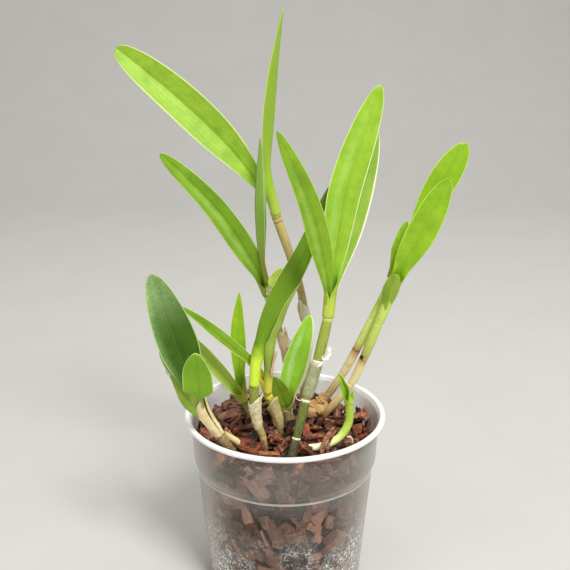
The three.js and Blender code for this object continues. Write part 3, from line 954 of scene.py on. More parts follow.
@dataclass
class Leaf:
    """One strap leaf: a clasping foot that opens into a flat blade."""

    node: str
    route: tuple[Point, ...]
    width: float
    clasp: float
    opens: float
    fold: float
    face: Point
    widest: float
    blunt: float
    tone: LeafTone = LeafTone.LIME
    crowns: str = ""
    wrap: float = 183.0
    closed: float = 0.0
    neck: float = 0.08
    cup: float = 8.0
    waves: float = 2.2
    wave_height: float = 0.0004

    AROUND: ClassVar[int] = 56
    ALONG: ClassVar[int] = 80
    MIDDLE: ClassVar[float] = 0.0012
    EDGE: ClassVar[float] = 0.0006
    LEAST_TIP: ClassVar[float] = 0.012
    FIRST: ClassVar[float] = 0.004
    TIP_CROWDING: ClassVar[float] = 1.5
    GROOVE: ClassVar[float] = 0.00035
    GROOVE_REACH: ClassVar[float] = 0.0006
    THIN_TIP: ClassVar[float] = 0.75
    UNEVEN: ClassVar[float] = 0.0002
    SIDE_PHASE: ClassVar[float] = 1.4

    def __post_init__(self) -> None:
        """Turns the table's millimetres into metres."""
        self.route, self.width, self.clasp = metres((self.route, self.width, self.clasp))

    def _rows(self) -> list[Row]:
        """Rows that crowd towards the tip, closed at both ends.

        Returns:
            Each row's place along and its fullness.
        """
        shares = [1 - (1 - j / self.ALONG) ** self.TIP_CROWDING for j in range(self.ALONG + 1)]
        rows = [(0.0, 0.0)] + [(lerp(self.FIRST, 1.0, s), 1.0) for s in shares]
        rows[-1] = (1.0, 0.0)
        return rows

    def _half(self, t: float, curl: float) -> float:
        """Half the blade's width, measured along its curl.

        Args:
            t: The place along the leaf.
            curl: How far each half curls, as an angle.

        Returns:
            Half the width.
        """
        s = max(0.0, (t - self.widest) / (1 - self.widest))
        tip = max(self.LEAST_TIP, (1 - s * s) ** self.blunt)
        seen = lerp(self.clasp, self.width / 2, ease(self.neck, self.widest, t)) * tip
        return seen * curl / math.sin(min(curl, math.pi / 2))

    def _section(self, route: Route, t: float) -> Section:
        """The cross-section at a place along the leaf.

        Args:
            route: The leaf's line.
            t: The place along it.

        Returns:
            The section, which is rolled up at the foot and opens into the blade.
        """
        opened = ease(self.closed, self.opens, t)
        curl = math.radians(lerp(self.wrap, self.cup, opened))
        along, up, out = route.frame(t, Vector(self.face).normalized())
        keel = route.at(t) - up * self.clasp * (1 - opened)
        return Section(keel, out, up, along, self._half(t, curl), math.radians(self.fold) * opened, curl)

    def build(self, stems: dict[str, "Stem"]) -> Piece:
        """Models the blade.

        Args:
            stems: The stems by name, for a leaf that crowns one.

        Returns:
            The piece.
        """
        route = Route((stems[self.crowns].top(), *self.route) if self.crowns else self.route)
        rows = self._rows()
        sections = {t: self._section(route, t) for t, _ in rows}
        seed = own_number(self.node, 0.37)

        def spot(share: float, t: float, fullness: float) -> Vector:
            """One vertex of the closed skin.

            Args:
                share: The share of the way round: the upper face comes first.
                t: The place along.
                fullness: 0 where the skin closes, and else 1.

            Returns:
                Its place.
            """
            turn = -math.cos(share * math.tau)
            u = turn * (1 - EDGE_CROWDING + EDGE_CROWDING * turn * turn)
            opened = ease(self.closed, self.opens, t)
            body = lerp(self.MIDDLE, self.EDGE, abs(u) ** 1.5) * lerp(1.0, self.THIN_TIP, t * t)
            lift = shell(share, u, body, 8) * fullness
            groove = math.exp(-((u * sections[t].half / self.GROOVE_REACH) ** 2)) * (1 - t**3) * opened
            lift -= self.GROOVE * groove * fullness
            phase = seed + (self.SIDE_PHASE if u > 0 else 0.0)
            wave = abs(u) ** 3 * math.sin(math.tau * self.waves * t + phase) * opened
            lift += self.wave_height * wave + self.UNEVEN * opened * lively(u * 2 + seed, t * 7)
            return sections[t].point(u, lift)

        return Bench.wrapped(self.node + "_blade", self.AROUND, rows, spot)

    def dress(self, piece: Piece, materials: dict[LeafTone, Material]) -> None:
        """Gives the leaf its material and its place in the frame."""
        Bench.dressed(piece, materials[self.tone], "leaf", self.node)


@dataclass
class Stem:
    """A cane or a creeping stem: a tube with a slight swelling between joints and a ring at each."""

    node: str
    joints: tuple[Point, ...]
    radii: tuple[float, ...]
    swell: float
    finish: StemFinish
    slot: str = "cane"
    ring: float = 0.3
    knobs: float = 0.03

    AROUND: ClassVar[int] = 28
    ROWS: ClassVar[int] = 26
    OVERLAP: ClassVar[float] = 0.002
    RING_REACH: ClassVar[float] = 0.00035
    GROOVE: ClassVar[float] = 0.00016
    GROOVE_PLACE: ClassVar[float] = 0.001
    KNOB_TURNS: ClassVar[float] = 3.5
    KNOB_RATE: ClassVar[float] = 1.3
    GROOVE_REACH: ClassVar[float] = 0.0005

    def __post_init__(self) -> None:
        """Turns the table's millimetres into metres."""
        lengths = (self.joints, self.radii, self.swell, self.ring)
        self.joints, self.radii, self.swell, self.ring = metres(lengths)

    def top(self) -> Point:
        """The place just below the stem's top, where a leaf that crowns it starts."""
        route = Route(self.joints)
        return tuple(route.at(1.0) - route.heading(1.0) * self.OVERLAP)

    def _rows(self) -> list[Row]:
        """Rows that crowd towards each joint, closed at both ends.

        Returns:
            Each row's place along and its fullness.
        """
        spans = len(self.joints) - 1
        rows = [(0.0, 0.0), (0.0, 0.8)]
        for i in range(spans):
            for k in range(self.ROWS):
                s = (1 - math.cos(math.pi * (k + 0.3) / self.ROWS)) / 2
                rows.append(((i + s) / spans, 1.0))
        return rows + [(1.0, 0.9), (1.0, 0.0)]

    def radius(self, route: Route, t: float) -> float:
        """The stem's radius at a place along it, with its rings.

        Args:
            route: The stem's line.
            t: The place along it.

        Returns:
            The radius, before the knobs.
        """
        i, s = span(t, route.spans)
        plain = lerp(self.radii[i], self.radii[i + 1], s) + self.swell * math.sin(math.pi * s)
        for joint in range(1, route.spans) if self.ring else ():
            away = (t * route.spans - joint) * route.span_length(min(i, joint))
            plain += self.ring * math.exp(-((away / self.RING_REACH) ** 2))
            plain -= self.GROOVE * math.exp(-(((away - self.GROOVE_PLACE) / self.GROOVE_REACH) ** 2))
        return plain

    def build(self) -> Piece:
        """Models the stem.

        Returns:
            The piece.
        """
        route = Route(self.joints)
        rows = self._rows()
        rings = {t: (route.at(t), *route.frame(t, FRONT)[1:], self.radius(route, t)) for t, _ in rows}
        seed = own_number(self.node, 0.71)
        turns = self.KNOB_TURNS * len(self.joints)

        def spot(share: float, t: float, fullness: float) -> Vector:
            """One vertex of the tube.

            Args:
                share: The share of the way round.
                t: The place along.
                fullness: The share of the radius that the row keeps.

            Returns:
                Its place.
            """
            centre, first, second, radius = rings[t]
            cos, sin = math.cos(share * math.tau), math.sin(share * math.tau)
            knob = lively(cos * self.KNOB_RATE + seed, sin * self.KNOB_RATE, t * turns)
            radius *= (1 + self.knobs * knob) * fullness
            return centre + first * (radius * cos) + second * (radius * sin)

        return Bench.wrapped(self.node + "_stem", self.AROUND, rows, spot)

    def dress(self, piece: Piece) -> None:
        """Gives the stem its material, with a line at each joint, and its place in the frame.

        Args:
            piece: The stem.
        """
        spans = len(self.joints) - 1
        lines = self.finish.rings or tuple(i / spans for i in range(1, spans))
        material = replace(self.finish, rings=lines).paint(self.node + "_skin")
        nodes = [self.node] if self.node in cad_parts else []
        Bench.dressed(piece, material, self.slot, *nodes)


@dataclass
class Sleeve:
    """A papery sheath round a stem, torn along its upper edge and split down one side."""

    node: str
    joints: tuple[Point, ...]
    radii: tuple[float, ...]
    front: Point
    tears: tuple[float, ...]
    folds: float = 0.1
    finish: SleeveFinish = field(default_factory=SleeveFinish)
    wraps: tuple[float, float] = (172.0, 152.0)

    AROUND: ClassVar[int] = 120
    ALONG: ClassVar[int] = 44
    THICKNESS: ClassVar[float] = 0.00032
    WRINKLE: ClassVar[float] = 0.0002
    FLARE: ClassVar[float] = 0.12
    LOOSE_EDGE: ClassVar[float] = 0.0004
    LIP: ClassVar[float] = 0.004
    COARSE_TEAR: ClassVar[Range] = (24.0, 0.0005)
    FINE_TEAR: ClassVar[Range] = (66.0, 0.00035)

    def __post_init__(self) -> None:
        """Turns the table's millimetres into metres."""
        lengths = (self.joints, self.radii, self.tears, self.folds)
        self.joints, self.radii, self.tears, self.folds = metres(lengths)

    def _torn(self, u: float) -> float:
        """How far the upper edge is moved up at a place across, from the listed tears.

        Args:
            u: The place across, from -1 to 1.

        Returns:
            The shift, with finer tears added.
        """
        i, rest = span((u + 1) / 2, len(self.tears) - 1)
        shift = lerp(self.tears[i], self.tears[i + 1], rest)
        seed = len(self.node) * 7.0 + self.joints[0][0] * 900
        for rate, height in (self.COARSE_TEAR, self.FINE_TEAR):
            shift += height * lively(u * rate, seed)
        return shift

    def _section(self, route: Route, s: float) -> Section:
        """The cross-section at a share of the way up.

        Args:
            route: The sheath's line.
            s: The share of the way up.

        Returns:
            The section, which is a ring with a gap.
        """
        along, up, out = route.frame(s, -Vector(self.front).normalized())
        i, rest = span(s, len(self.radii) - 1)
        radius = lerp(self.radii[i], self.radii[i + 1], ease(0.0, 1.0, rest))
        wrap = math.radians(lerp(*self.wraps, s))
        return Section(route.at(s) - up * radius, out, up, along, radius * wrap, 0.0, wrap)

    def build(self) -> Piece:
        """Models the sheath round its stem.

        Returns:
            The piece.
        """
        route = Route(self.joints)
        shares = [self.LIP, *(j / self.ALONG for j in range(1, self.ALONG)), 1 - self.LIP]
        rows = [(0.0, 0.0)] + [(s, 1.0) for s in shares] + [(1.0, 0.0)]
        sections = {s: self._section(route, s) for s, _ in rows}
        seed = self.joints[0][1] * 1000

        def spot(share: float, s: float, fullness: float) -> Vector:
            """One vertex of the wrinkled skin.

            Args:
                share: The share of the way round: the inner face comes first.
                s: The share of the way up.
                fullness: 0 where the skin closes, and else 1.

            Returns:
                Its place.
            """
            u = -math.cos(share * math.tau)
            u *= 1.25 - 0.25 * u * u
            torn = self._torn(u)
            lift = shell(share, u, self.THICKNESS, 12) * fullness
            lift -= self.WRINKLE * (1 + lively(u * 8 + seed, s * 3)) * ease(0.0, 0.15, s)
            lift -= self.folds * (1 + math.sin(s * 38 + 5 * lively(u * 3, s * 4, seed))) * ease(0.0, 0.2, s)
            lift -= self.LOOSE_EDGE * ease(0.8, 1.0, abs(u)) * lively(s * 9, seed)
            lift -= self.FLARE * max(0.0, torn) * ease(0.7, 1.0, s)
            return sections[s].point(u, lift, torn * ease(0.3, 1.0, s))

        return Bench.wrapped(self.node + "_paper", self.AROUND, rows, spot)

    def dress(self, piece: Piece) -> None:
        """Gives the sheath its material and its place in the frame."""
        Bench.dressed(piece, self.finish.paint(self.node + "_paper"), "sleeve", self.node)


@dataclass
class Scrap:
    """A small strip of dry skin, bark or young tissue that stands off the plant."""

    name: str
    route: tuple[Point, ...]
    width: float
    face: Point
    slot: str = "sleeve"
    curl: float = 40.0
    thickness: float = 0.3
    ragged: float = 0.25
    blunt: float = 0.6

    AROUND: ClassVar[int] = 20
    ALONG: ClassVar[int] = 22
    LEAST: ClassVar[float] = 0.12
    LIP: ClassVar[float] = 0.01

    def __post_init__(self) -> None:
        """Turns the table's millimetres into metres."""
        self.route, self.width, self.thickness = metres((self.route, self.width, self.thickness))

    def build(self) -> Piece:
        """Models the strip.

        Returns:
            The piece.
        """
        route = Route(self.route)
        shares = [lerp(self.LIP, 1 - self.LIP, j / self.ALONG) for j in range(self.ALONG + 1)]
        rows = [(0.0, 0.0)] + [(t, 1.0) for t in shares] + [(1.0, 0.0)]
        curl = math.radians(self.curl)
        face = Vector(self.face).normalized()
        sections = {}
        for t, _ in rows:
            along, up, out = route.frame(t, face)
            body = max(self.LEAST, (1 - (2 * t - 1) ** 4) ** self.blunt)
            half = self.width / 2 * body * (1 + self.ragged * lively(t * 6, self.width * 900))
            sections[t] = Section(route.at(t), out, up, along, half, 0.0, curl)

        def spot(share: float, t: float, fullness: float) -> Vector:
            """One vertex of the strip.

            Args:
                share: The share of the way round: the upper face comes first.
                t: The place along.
                fullness: 0 where the skin closes, and else 1.

            Returns:
                Its place.
            """
            u = -math.cos(share * math.tau)
            lift = shell(share, u, self.thickness, 4) * fullness + 0.1 * self.width * lively(t * 5, u)
            torn = u + self.ragged * 0.5 * lively(t * 22, u * 2)
            return sections[t].point(max(-1.0, min(1.0, torn)), lift)

        return Bench.wrapped(self.name, self.AROUND, rows, spot)

    def dress(self, piece: Piece, material: Material) -> None:
        """Gives the strip its material and its place in the frame."""
        Bench.dressed(piece, material, self.slot)


@dataclass
class Pot:
    """The clear nursery pot: a bead at the rim, a collar that steps in, and a tapered wall."""

    height: float = 0.108
    rim_radius: float = 0.06
    bead_height: float = 0.0026
    bead_width: float = 0.0034
    wall: float = 0.0011
    floor: float = 0.0015
    collar_top_radius: float = 0.0562
    collar_depth: float = 0.0263
    collar_radius: float = 0.055
    step_depth: float = 0.0326
    step_radius: float = 0.0532
    base_radius: float = 0.0466
    foot_round: float = 0.0015
    corner_round: float = 0.0015
    bead_round: float = 0.0011
    ridge: float = 0.0002
    ridge_reach: float = 0.0003
    drain_holes: int = 8
    drain_radius: float = 0.004
    drain_ring: float = 0.033
    finish: PlasticFinish = field(default_factory=PlasticFinish)

    AROUND: ClassVar[int] = 144
    ARC: ClassVar[int] = 6
    WALL_ROWS: ClassVar[int] = 8
    COLLAR_ROWS: ClassVar[int] = 5
    SMOOTH_ANGLE: ClassVar[float] = 40.0

    def radius(self, z: float) -> float:
        """The wall's outer radius at a height.

        Args:
            z: The height.

        Returns:
            The radius, without the bead.
        """
        collar_base = self.height - self.collar_depth
        step_base = self.height - self.step_depth
        if z > collar_base:
            share = (z - collar_base) / self.collar_depth
            return lerp(self.collar_radius, self.collar_top_radius, share)
        if z > step_base:
            share = (z - step_base) / (collar_base - step_base)
            return lerp(self.step_radius, self.collar_radius, ease(0.0, 1.0, share))
        return lerp(self.base_radius, self.step_radius, z / step_base)

    def _arc(self, r: float, z: float, size: float, start: float, end: float) -> list[tuple[float, float]]:
        """Points of a round stretch of the profile, between two angles in degrees."""
        angles = [math.radians(lerp(start, end, k / self.ARC)) for k in range(self.ARC + 1)]
        return [(r + size * math.cos(a), z + size * math.sin(a)) for a in angles]

    @staticmethod
    def _rows(low: float, high: float, count: int) -> list[float]:
        """Heights at equal steps, with both ends."""
        return [lerp(low, high, k / count) for k in range(count + 1)]

    def _profile(self) -> list[tuple[float, float]]:
        """The outline from the foot, up outside, over the bead and down inside to the floor.

        Returns:
            The points as radius and height.
        """
        bead_base = self.height - self.bead_height
        collar_base = self.height - self.collar_depth
        step_base = self.height - self.step_depth
        levels = self._rows(0.004, step_base - 0.0014, self.WALL_ROWS)
        step = [step_base + k * self.ridge_reach for k in (-2, -1, 0, 1, 2)]
        shoulder = self._rows(step[-1] + 0.0008, collar_base, self.COLLAR_ROWS)
        collar = self._rows(collar_base + 0.003, bead_base - 0.001, self.COLLAR_ROWS)
        heights = levels + step + shoulder + collar
        ridge = {step[1]: self.ridge / 2, step[2]: self.ridge, step[3]: self.ridge / 2}
        outside = [(self.radius(z) + ridge.get(z, 0.0), z) for z in heights]
        inside = [(self.radius(z) - self.wall, z) for z in reversed(heights) if z not in ridge]
        foot = self._arc(self.base_radius - self.foot_round, self.foot_round, self.foot_round, -90, 0)
        bead = self.bead_round
        outer = self.rim_radius - bead
        inner = self.rim_radius - self.bead_width + bead
        over = self._arc(outer, bead_base + bead, bead, -90, 0)
        over += self._arc(outer, self.height - bead, bead, 0, 90)
        over += self._arc(inner, self.height - bead, bead, 90, 180)
        corner_top = self.floor + self.corner_round
        corner = [(self.radius(corner_top) - self.wall, corner_top)]
        floor = [(self.radius(self.floor) - self.wall - self.corner_round, self.floor)]
        return foot + outside + over + inside + corner + floor

    def build(self) -> Piece:
        """Draws the pot up from a disc by extruding and scaling, and drills its drain holes.

        Returns:
            The pot.
        """
        Bench.clear()
        profile = self._profile()
        radius, height = profile[0]
        bpy.ops.mesh.primitive_circle_add(
            vertices=self.AROUND, radius=radius, fill_type="NGON", location=(0.0, 0.0, height)
        )
        piece = bpy.context.object
        Bench.label(piece, "pot_shell")
        bpy.ops.object.transform_apply(location=True)
        bpy.ops.object.mode_set(mode="EDIT")
        bpy.ops.mesh.select_all(action="SELECT")
        for next_radius, next_height in profile[1:]:
            step = (0.0, 0.0, next_height - height)
            scale = next_radius / radius
            bpy.ops.mesh.extrude_region_move(TRANSFORM_OT_translate={"value": step})
            bpy.ops.transform.resize(value=(scale, scale, 1.0), center_override=(0.0, 0.0, next_height))
            radius, height = next_radius, next_height
        bpy.ops.mesh.select_all(action="SELECT")
        bpy.ops.mesh.normals_make_consistent(inside=False)
        bpy.ops.object.mode_set(mode="OBJECT")
        drill = Bench.joined("drain_drill", [self._drill(i) for i in range(self.drain_holes)])
        Bench.finish(piece, "BOOLEAN", operation="DIFFERENCE", object=drill, solver="EXACT")
        bpy.data.objects.remove(drill)
        Bench.only(piece)
        bpy.ops.object.shade_smooth_by_angle(angle=math.radians(self.SMOOTH_ANGLE))
        return piece

    def _drill(self, i: int) -> Piece:
        """A rod where one drain hole goes.

        Args:
            i: The hole's number.

        Returns:
            The rod.
        """
        Bench.clear()
        angle = math.tau * i / self.drain_holes
        place = (self.drain_ring * math.cos(angle), self.drain_ring * math.sin(angle), 0.0)
        bpy.ops.mesh.primitive_cylinder_add(
            vertices=24, radius=self.drain_radius, depth=6 * self.floor, location=place
        )
        return bpy.context.object

    def dress(self, piece: Piece) -> None:
        """Gives the pot its plastic.

        Args:
            piece: The pot.
        """
        rim, step = self.height - self.bead_height, self.height - self.step_depth
        material = self.finish.paint("pot_plastic", rim, step)
        Bench.dressed(piece, material, "pot_plastic", "pot")


@dataclass(frozen=True)
class Chip:
    """One listed bark chip, by its middle, its size, how it lies and its tone."""

    place: Point
    size: Point
    turn: Point
    tone: float
    mould: int = 0

    def made(self, bark: "Bark", moulds: list[Piece]) -> Piece:
        """Copies the chip's mould to its place."""
        place, size = metres((self.place, self.size))
        return bark.chip(moulds[self.mould], size, Euler(self.turn), place, self.tone)


@dataclass
class Bark:
    """The bark bed: a packed core painted near black as shade in the gaps, loose chips on top and chips
    pressed against the wall.
    """

    pot: Pot
    top: float = 0.09
    dome: float = 0.002
    back_rise: float = 0.002
    left_rise: float = 0.0008
    roll_height: float = 0.0015
    roll_rates: tuple[float, float] = (130.0, 110.0)
    chip_count: int = 66
    chip_margin: float = 0.008
    chip_size: tuple[Range, ...] = ((0.010, 0.019), (0.005, 0.009), (0.0025, 0.0045))
    chip_turn: tuple[Range, ...] = ((-0.7, 0.7), (-0.6, 0.6), (0.0, math.pi))
    chip_lift: Range = (0.001, 0.0045)
    fine_count: int = 300
    fine_margin: float = 0.003
    fine_size: tuple[Range, ...] = ((0.005, 0.012), (0.0025, 0.0065), (0.0012, 0.0032))
    fine_turn: tuple[Range, ...] = ((-1.0, 1.0), (-0.7, 0.7), (0.0, math.pi))
    fine_lift: Range = (-0.0012, 0.0034)
    wall_count: int = 430
    wall_size: tuple[Range, ...] = ((0.008, 0.023), (0.006, 0.015), (0.002, 0.004))
    wall_depth: Range = (0.0004, 0.0048)
    wall_tilt: Range = (-0.3, 0.3)
    seed: int = 7
    gap: float = 0.0003
    core_shrink: float = 0.0034
    chosen: tuple[Chip, ...] = ()
    finish: BarkFinish = field(default_factory=BarkFinish)
    wall_finish: BarkFinish = BarkFinish(
        stops=(
            (0.0, "0f0a08"),
            (0.22, "341f18"),
            (0.42, "66412f"),
            (0.6, "8f6450"),
            (0.8, "b68a74"),
            (1.0, "d2b09a"),
        ),
        fresh="a05a38",
        dust="cba592",
        tone_share=0.8,
        fibre_share=0.5,
        blot_share=0.7,
        base=0.06,
        relief=0.0005,
    )

    MOULDS: ClassVar[int] = 12
    GOLDEN: ClassVar[float] = math.pi * (3 - math.sqrt(5))
    CORE_ROWS: ClassVar[int] = 40
    CORE_AROUND: ClassVar[int] = 120
    CORE_RINGS: ClassVar[int] = 16
    SMOOTH_ANGLE: ClassVar[float] = 30.0
    # Painted shade: the core's near-black tone darkens the gaps between the chips.
    CORE_SHADE_TONE: ClassVar[float] = 0.02
    STRIP_TONE: ClassVar[float] = 0.87
    CORNER_DRAWS: ClassVar[int] = 24
    END_SIZE: ClassVar[tuple[Range, ...]] = ((0.35, 0.95), (0.3, 0.9))
    END_SLIDE: ClassVar[tuple[Range, ...]] = ((-0.12, 0.0), (-0.2, 0.2), (-0.18, 0.18))

    def bed(self, x: float, y: float) -> float:
        """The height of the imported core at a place.

        Args:
            x: The place to the right.
            y: The place to the back.

        Returns:
            The height.
        """
        away = math.hypot(x, y) / self.pot.collar_radius
        roll = math.sin(self.roll_rates[0] * x + 1) * math.cos(self.roll_rates[1] * y)
        rise = (self.back_rise * y - self.left_rise * x) / self.pot.collar_radius
        return self.top + self.dome * (1 - away * away) + self.roll_height * roll + rise

    def _core(self) -> Piece:
        """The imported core, a little inside the solid one so that the chips stand out of it.

        Returns:
            The core.
        """
        floor = self.pot.floor + self.gap
        rows = [(0.0, 0.0)]
        rows += [(j / self.CORE_ROWS, 1.0) for j in range(self.CORE_ROWS + 1)]
        rows += [(1.0, 1 - k / self.CORE_RINGS) for k in range(1, self.CORE_RINGS + 1)]

        def spot(share: float, level: float, fullness: float) -> Vector:
            """One vertex of the core's rough skin.

            Args:
                share: The share of the way round.
                level: The share of the way up.
                fullness: The share of the radius that the row keeps.

            Returns:
                Its place.
            """
            angle = share * math.tau
            z = lerp(floor, self.top, level)
            rough = lively(4 * math.cos(angle), 4 * math.sin(angle), level * 9)
            full = self.pot.radius(z) - self.pot.wall - self.gap - self.core_shrink
            reach = (full - 0.0008 * rough) * fullness
            x, y = reach * math.cos(angle), reach * math.sin(angle)
            lump = 0.0016 * lively(x * 160, y * 160, 5.0)
            return Vector((x, y, lerp(floor, self.bed(x, y) - self.core_shrink / 2 + lump, level)))

        piece = Bench.wrapped("bark_core", self.CORE_AROUND, rows, spot)
        # The core takes the darkest tone, painted shade for the gaps between the chips.
        self.mark(piece, self.CORE_SHADE_TONE)
        return piece

    def _mould(self, i: int, cuts: int, rough: float = 1.0) -> Piece:
        """One rough chip of unit size, split and narrowed at its ends, to be copied.

        Args:
            i: Its number, which sets its shape.
            cuts: How finely its faces are broken up.
            rough: How rough its faces are, from 0 to 1.

        Returns:
            The mould.
        """
        draw = Draw(self.seed + 40 + i)
        Bench.clear()
        bpy.ops.mesh.primitive_cube_add(size=1.0)
        mould = bpy.context.object
        mould.name = f"chip_mould_{i}"
        for side in (-1.0, 1.0):
            scale = (1.0, *draw.each(*self.END_SIZE))
            inwards, *sideways = draw.each(*self.END_SLIDE)
            end = {"value": scale, "center_override": (side * 0.5, 0.0, 0.0)}
            slide = {"value": (side * inwards, *sideways)}
            Bench.pick(mould, lambda place, side=side: place.x * side > 0.4)
            Bench.edit(
                mould,
                lambda end=end: bpy.ops.transform.resize(**end),
                lambda slide=slide: bpy.ops.transform.translate(**slide),
                whole=False,
            )
        breaks = {"number_cuts": cuts, "fractal": 1.05 * rough, "fractal_along_normal": 0.4, "seed": i + 1}
        Bench.edit(
            mould,
            lambda: bpy.ops.mesh.subdivide(**breaks),
            lambda: bpy.ops.mesh.normals_make_consistent(inside=False),
        )
        for vertex in mould.data.vertices:
            x, y, z = vertex.co
            split = lively(x * 1.2 + i * 3, y * 6, z * 5) * rough
            vertex.co = (x + 0.1 * lively(y * 9, z * 8, i * 2.0), y * (1 + 0.14 * split), z + 0.16 * split)
        return mould

    @staticmethod
    def mark(piece: Piece, tone: float) -> None:
        """Stores a chip's own colour tone and the grain's directions in its mesh.

        Args:
            piece: The chip, before it is turned.
            tone: Its tone, from 0, dark, to 1, pale.
        """
        mesh = piece.data
        tones = mesh.attributes.new(TONE, "FLOAT", "POINT")
        tones.data.foreach_set("value", [tone] * len(mesh.vertices))
        grain = mesh.attributes.new(GRAIN, "FLOAT_VECTOR", "POINT")
        for vertex, entry in zip(mesh.vertices, grain.data):
            entry.vector = vertex.co

    def chip(self, mould: Piece, size: Sequence[float], turn: Euler, place: Point, tone: float) -> Piece:
        """A copy of a mould with its own mesh, sized, marked, turned and kept inside the wall.

        Args:
            mould: The chip of unit size.
            size: Length, width and thickness.
            turn: How it lies.
            place: Its middle.
            tone: Its colour tone, from 0, dark, to 1, pale.

        Returns:
            The chip.
        """
        chip = Bench.add("chip", mould.data.copy())
        chip.data.transform(Matrix.Diagonal((*size, 1.0)))
        self.mark(chip, tone)
        chip.data.transform(Matrix.Translation(place) @ turn.to_matrix().to_4x4())
        for vertex in chip.data.vertices:
            self._keep_in(vertex)
        return chip

    def _keep_in(self, vertex: bpy.types.MeshVertex) -> None:
        """Presses a vertex back inside the pot's wall and over its floor.

        Args:
            vertex: The vertex, which is moved.
        """
        x, y, z = vertex.co
        z = max(z, self.pot.floor + self.gap)
        away = math.hypot(x, y)
        room = self.pot.radius(z) - self.pot.wall - self.gap
        if away > room:
            x, y = x * room / away, y * room / away
        vertex.co = (x, y, z)

    def _spread(self, i: int, count: int, margin: float, start: float = 0.0) -> tuple[float, float]:
        """A place on the bed by the sunflower rule, which spreads chips evenly.

        Args:
            i: The chip's number.
            count: How many chips there are.
            margin: The room that they leave at the wall.
            start: The first chip's angle.

        Returns:
            The place to the right and to the back.
        """
        radius = (self.pot.collar_radius - margin) * math.sqrt((i + 0.5) / count)
        angle = i * self.GOLDEN + start
        return radius * math.cos(angle), radius * math.sin(angle)

    def _top_chips(self, moulds: list[Piece]) -> list[Piece]:
        """The loose chips, drawn as the solid ones are, with as many draws for each.

        Args:
            moulds: The moulds to copy.

        Returns:
            The chips.
        """
        draw = Draw(self.seed)
        tones = Draw(self.seed + 100)
        chips = []
        for i in range(self.chip_count):
            x, y = self._spread(i, self.chip_count, self.chip_margin)
            size = draw.each(*self.chip_size)
            for _ in range(self.CORNER_DRAWS):
                draw.between()
            turn = Euler(draw.each(*self.chip_turn))
            place = (x, y, self.bed(x, y) + draw.between(*self.chip_lift))
            chips.append(self.chip(moulds[i % self.MOULDS], size, turn, place, tones.between() ** 1.3))
        return chips

    def _fine_chips(self, moulds: list[Piece]) -> list[Piece]:
        """Splinters and small bits that fill the gaps between the loose chips.

        Args:
            moulds: The moulds to copy.

        Returns:
            The bits.
        """
        draw = Draw(self.seed + 1)
        chips = []
        for i in range(self.fine_count):
            x, y = self._spread(i, self.fine_count, self.fine_margin, 1.0)
            size = draw.each(*self.fine_size)
            turn = Euler(draw.each(*self.fine_turn))
            place = (x, y, self.bed(x, y) + draw.between(*self.fine_lift))
            chips.append(self.chip(moulds[i % self.MOULDS], size, turn, place, draw.between() ** 1.4))
        return chips

    def _wall_chips(self, moulds: list[Piece]) -> list[Piece]:
        """Chips that lie against the wall and show through it.

        Args:
            moulds: The moulds to copy.

        Returns:
            The chips.
        """
        draw = Draw(self.seed + 2)
        chips = []
        for i in range(self.wall_count):
            z = lerp(self.pot.floor + 0.002, self.top + 0.0015, (i + 0.5) / self.wall_count)
            angle = i * self.GOLDEN
            size = draw.each(*self.wall_size)
            inner = self.pot.radius(z) - self.pot.wall - self.gap - draw.between(*self.wall_depth)
            lie = Matrix.Rotation(angle, 3, "Z") @ Matrix.Rotation(math.pi / 2, 3, "Y")
            spin = Matrix.Rotation(draw.between(0.0, math.pi), 3, "Z")
            tilt = Euler((*draw.each(self.wall_tilt, self.wall_tilt), 0.0)).to_matrix()
            turn = (lie @ tilt @ spin).to_euler()
            place = (inner * math.cos(angle), inner * math.sin(angle), z)
            chips.append(self.chip(moulds[i % self.MOULDS], size, turn, place, draw.between()))
        return chips

    def build(self) -> list[Piece]:
        """Models the core and the chips.

        Returns:
            The core, the loose chips and the wall chips.
        """
        coarse = [self._mould(i, 2) for i in range(self.MOULDS)]
        fine = [self._mould(i + self.MOULDS, 4) for i in range(self.MOULDS)]
        flat = [self._mould(i + 2 * self.MOULDS, 3, 0.4) for i in range(self.MOULDS)]
        pieces = [self._core()]
        chosen = [chip.made(self, fine) for chip in self.chosen]
        for name, chips in (
            ("bark_chips", self._top_chips(fine) + self._fine_chips(coarse) + chosen),
            ("bark_wall_chips", self._wall_chips(flat)),
        ):
            whole = Bench.joined(name, chips)
            bpy.ops.object.shade_smooth_by_angle(angle=math.radians(self.SMOOTH_ANGLE))
            pieces.append(whole)
        for mould in coarse + fine + flat:
            bpy.data.objects.remove(mould)
        return pieces

    def dress(self, pieces: list[Piece], material: Material) -> None:
        """Gives the bark its finish, which is duller and smoother against the wall.

        Args:
            pieces: The core and the chips.
            material: The finish of all but the wall chips.
        """
        by_wall = self.wall_finish.paint("bark_by_wall")
        for piece in pieces:
            Bench.dressed(piece, by_wall if "wall" in piece.name else material, "bark", "bark")


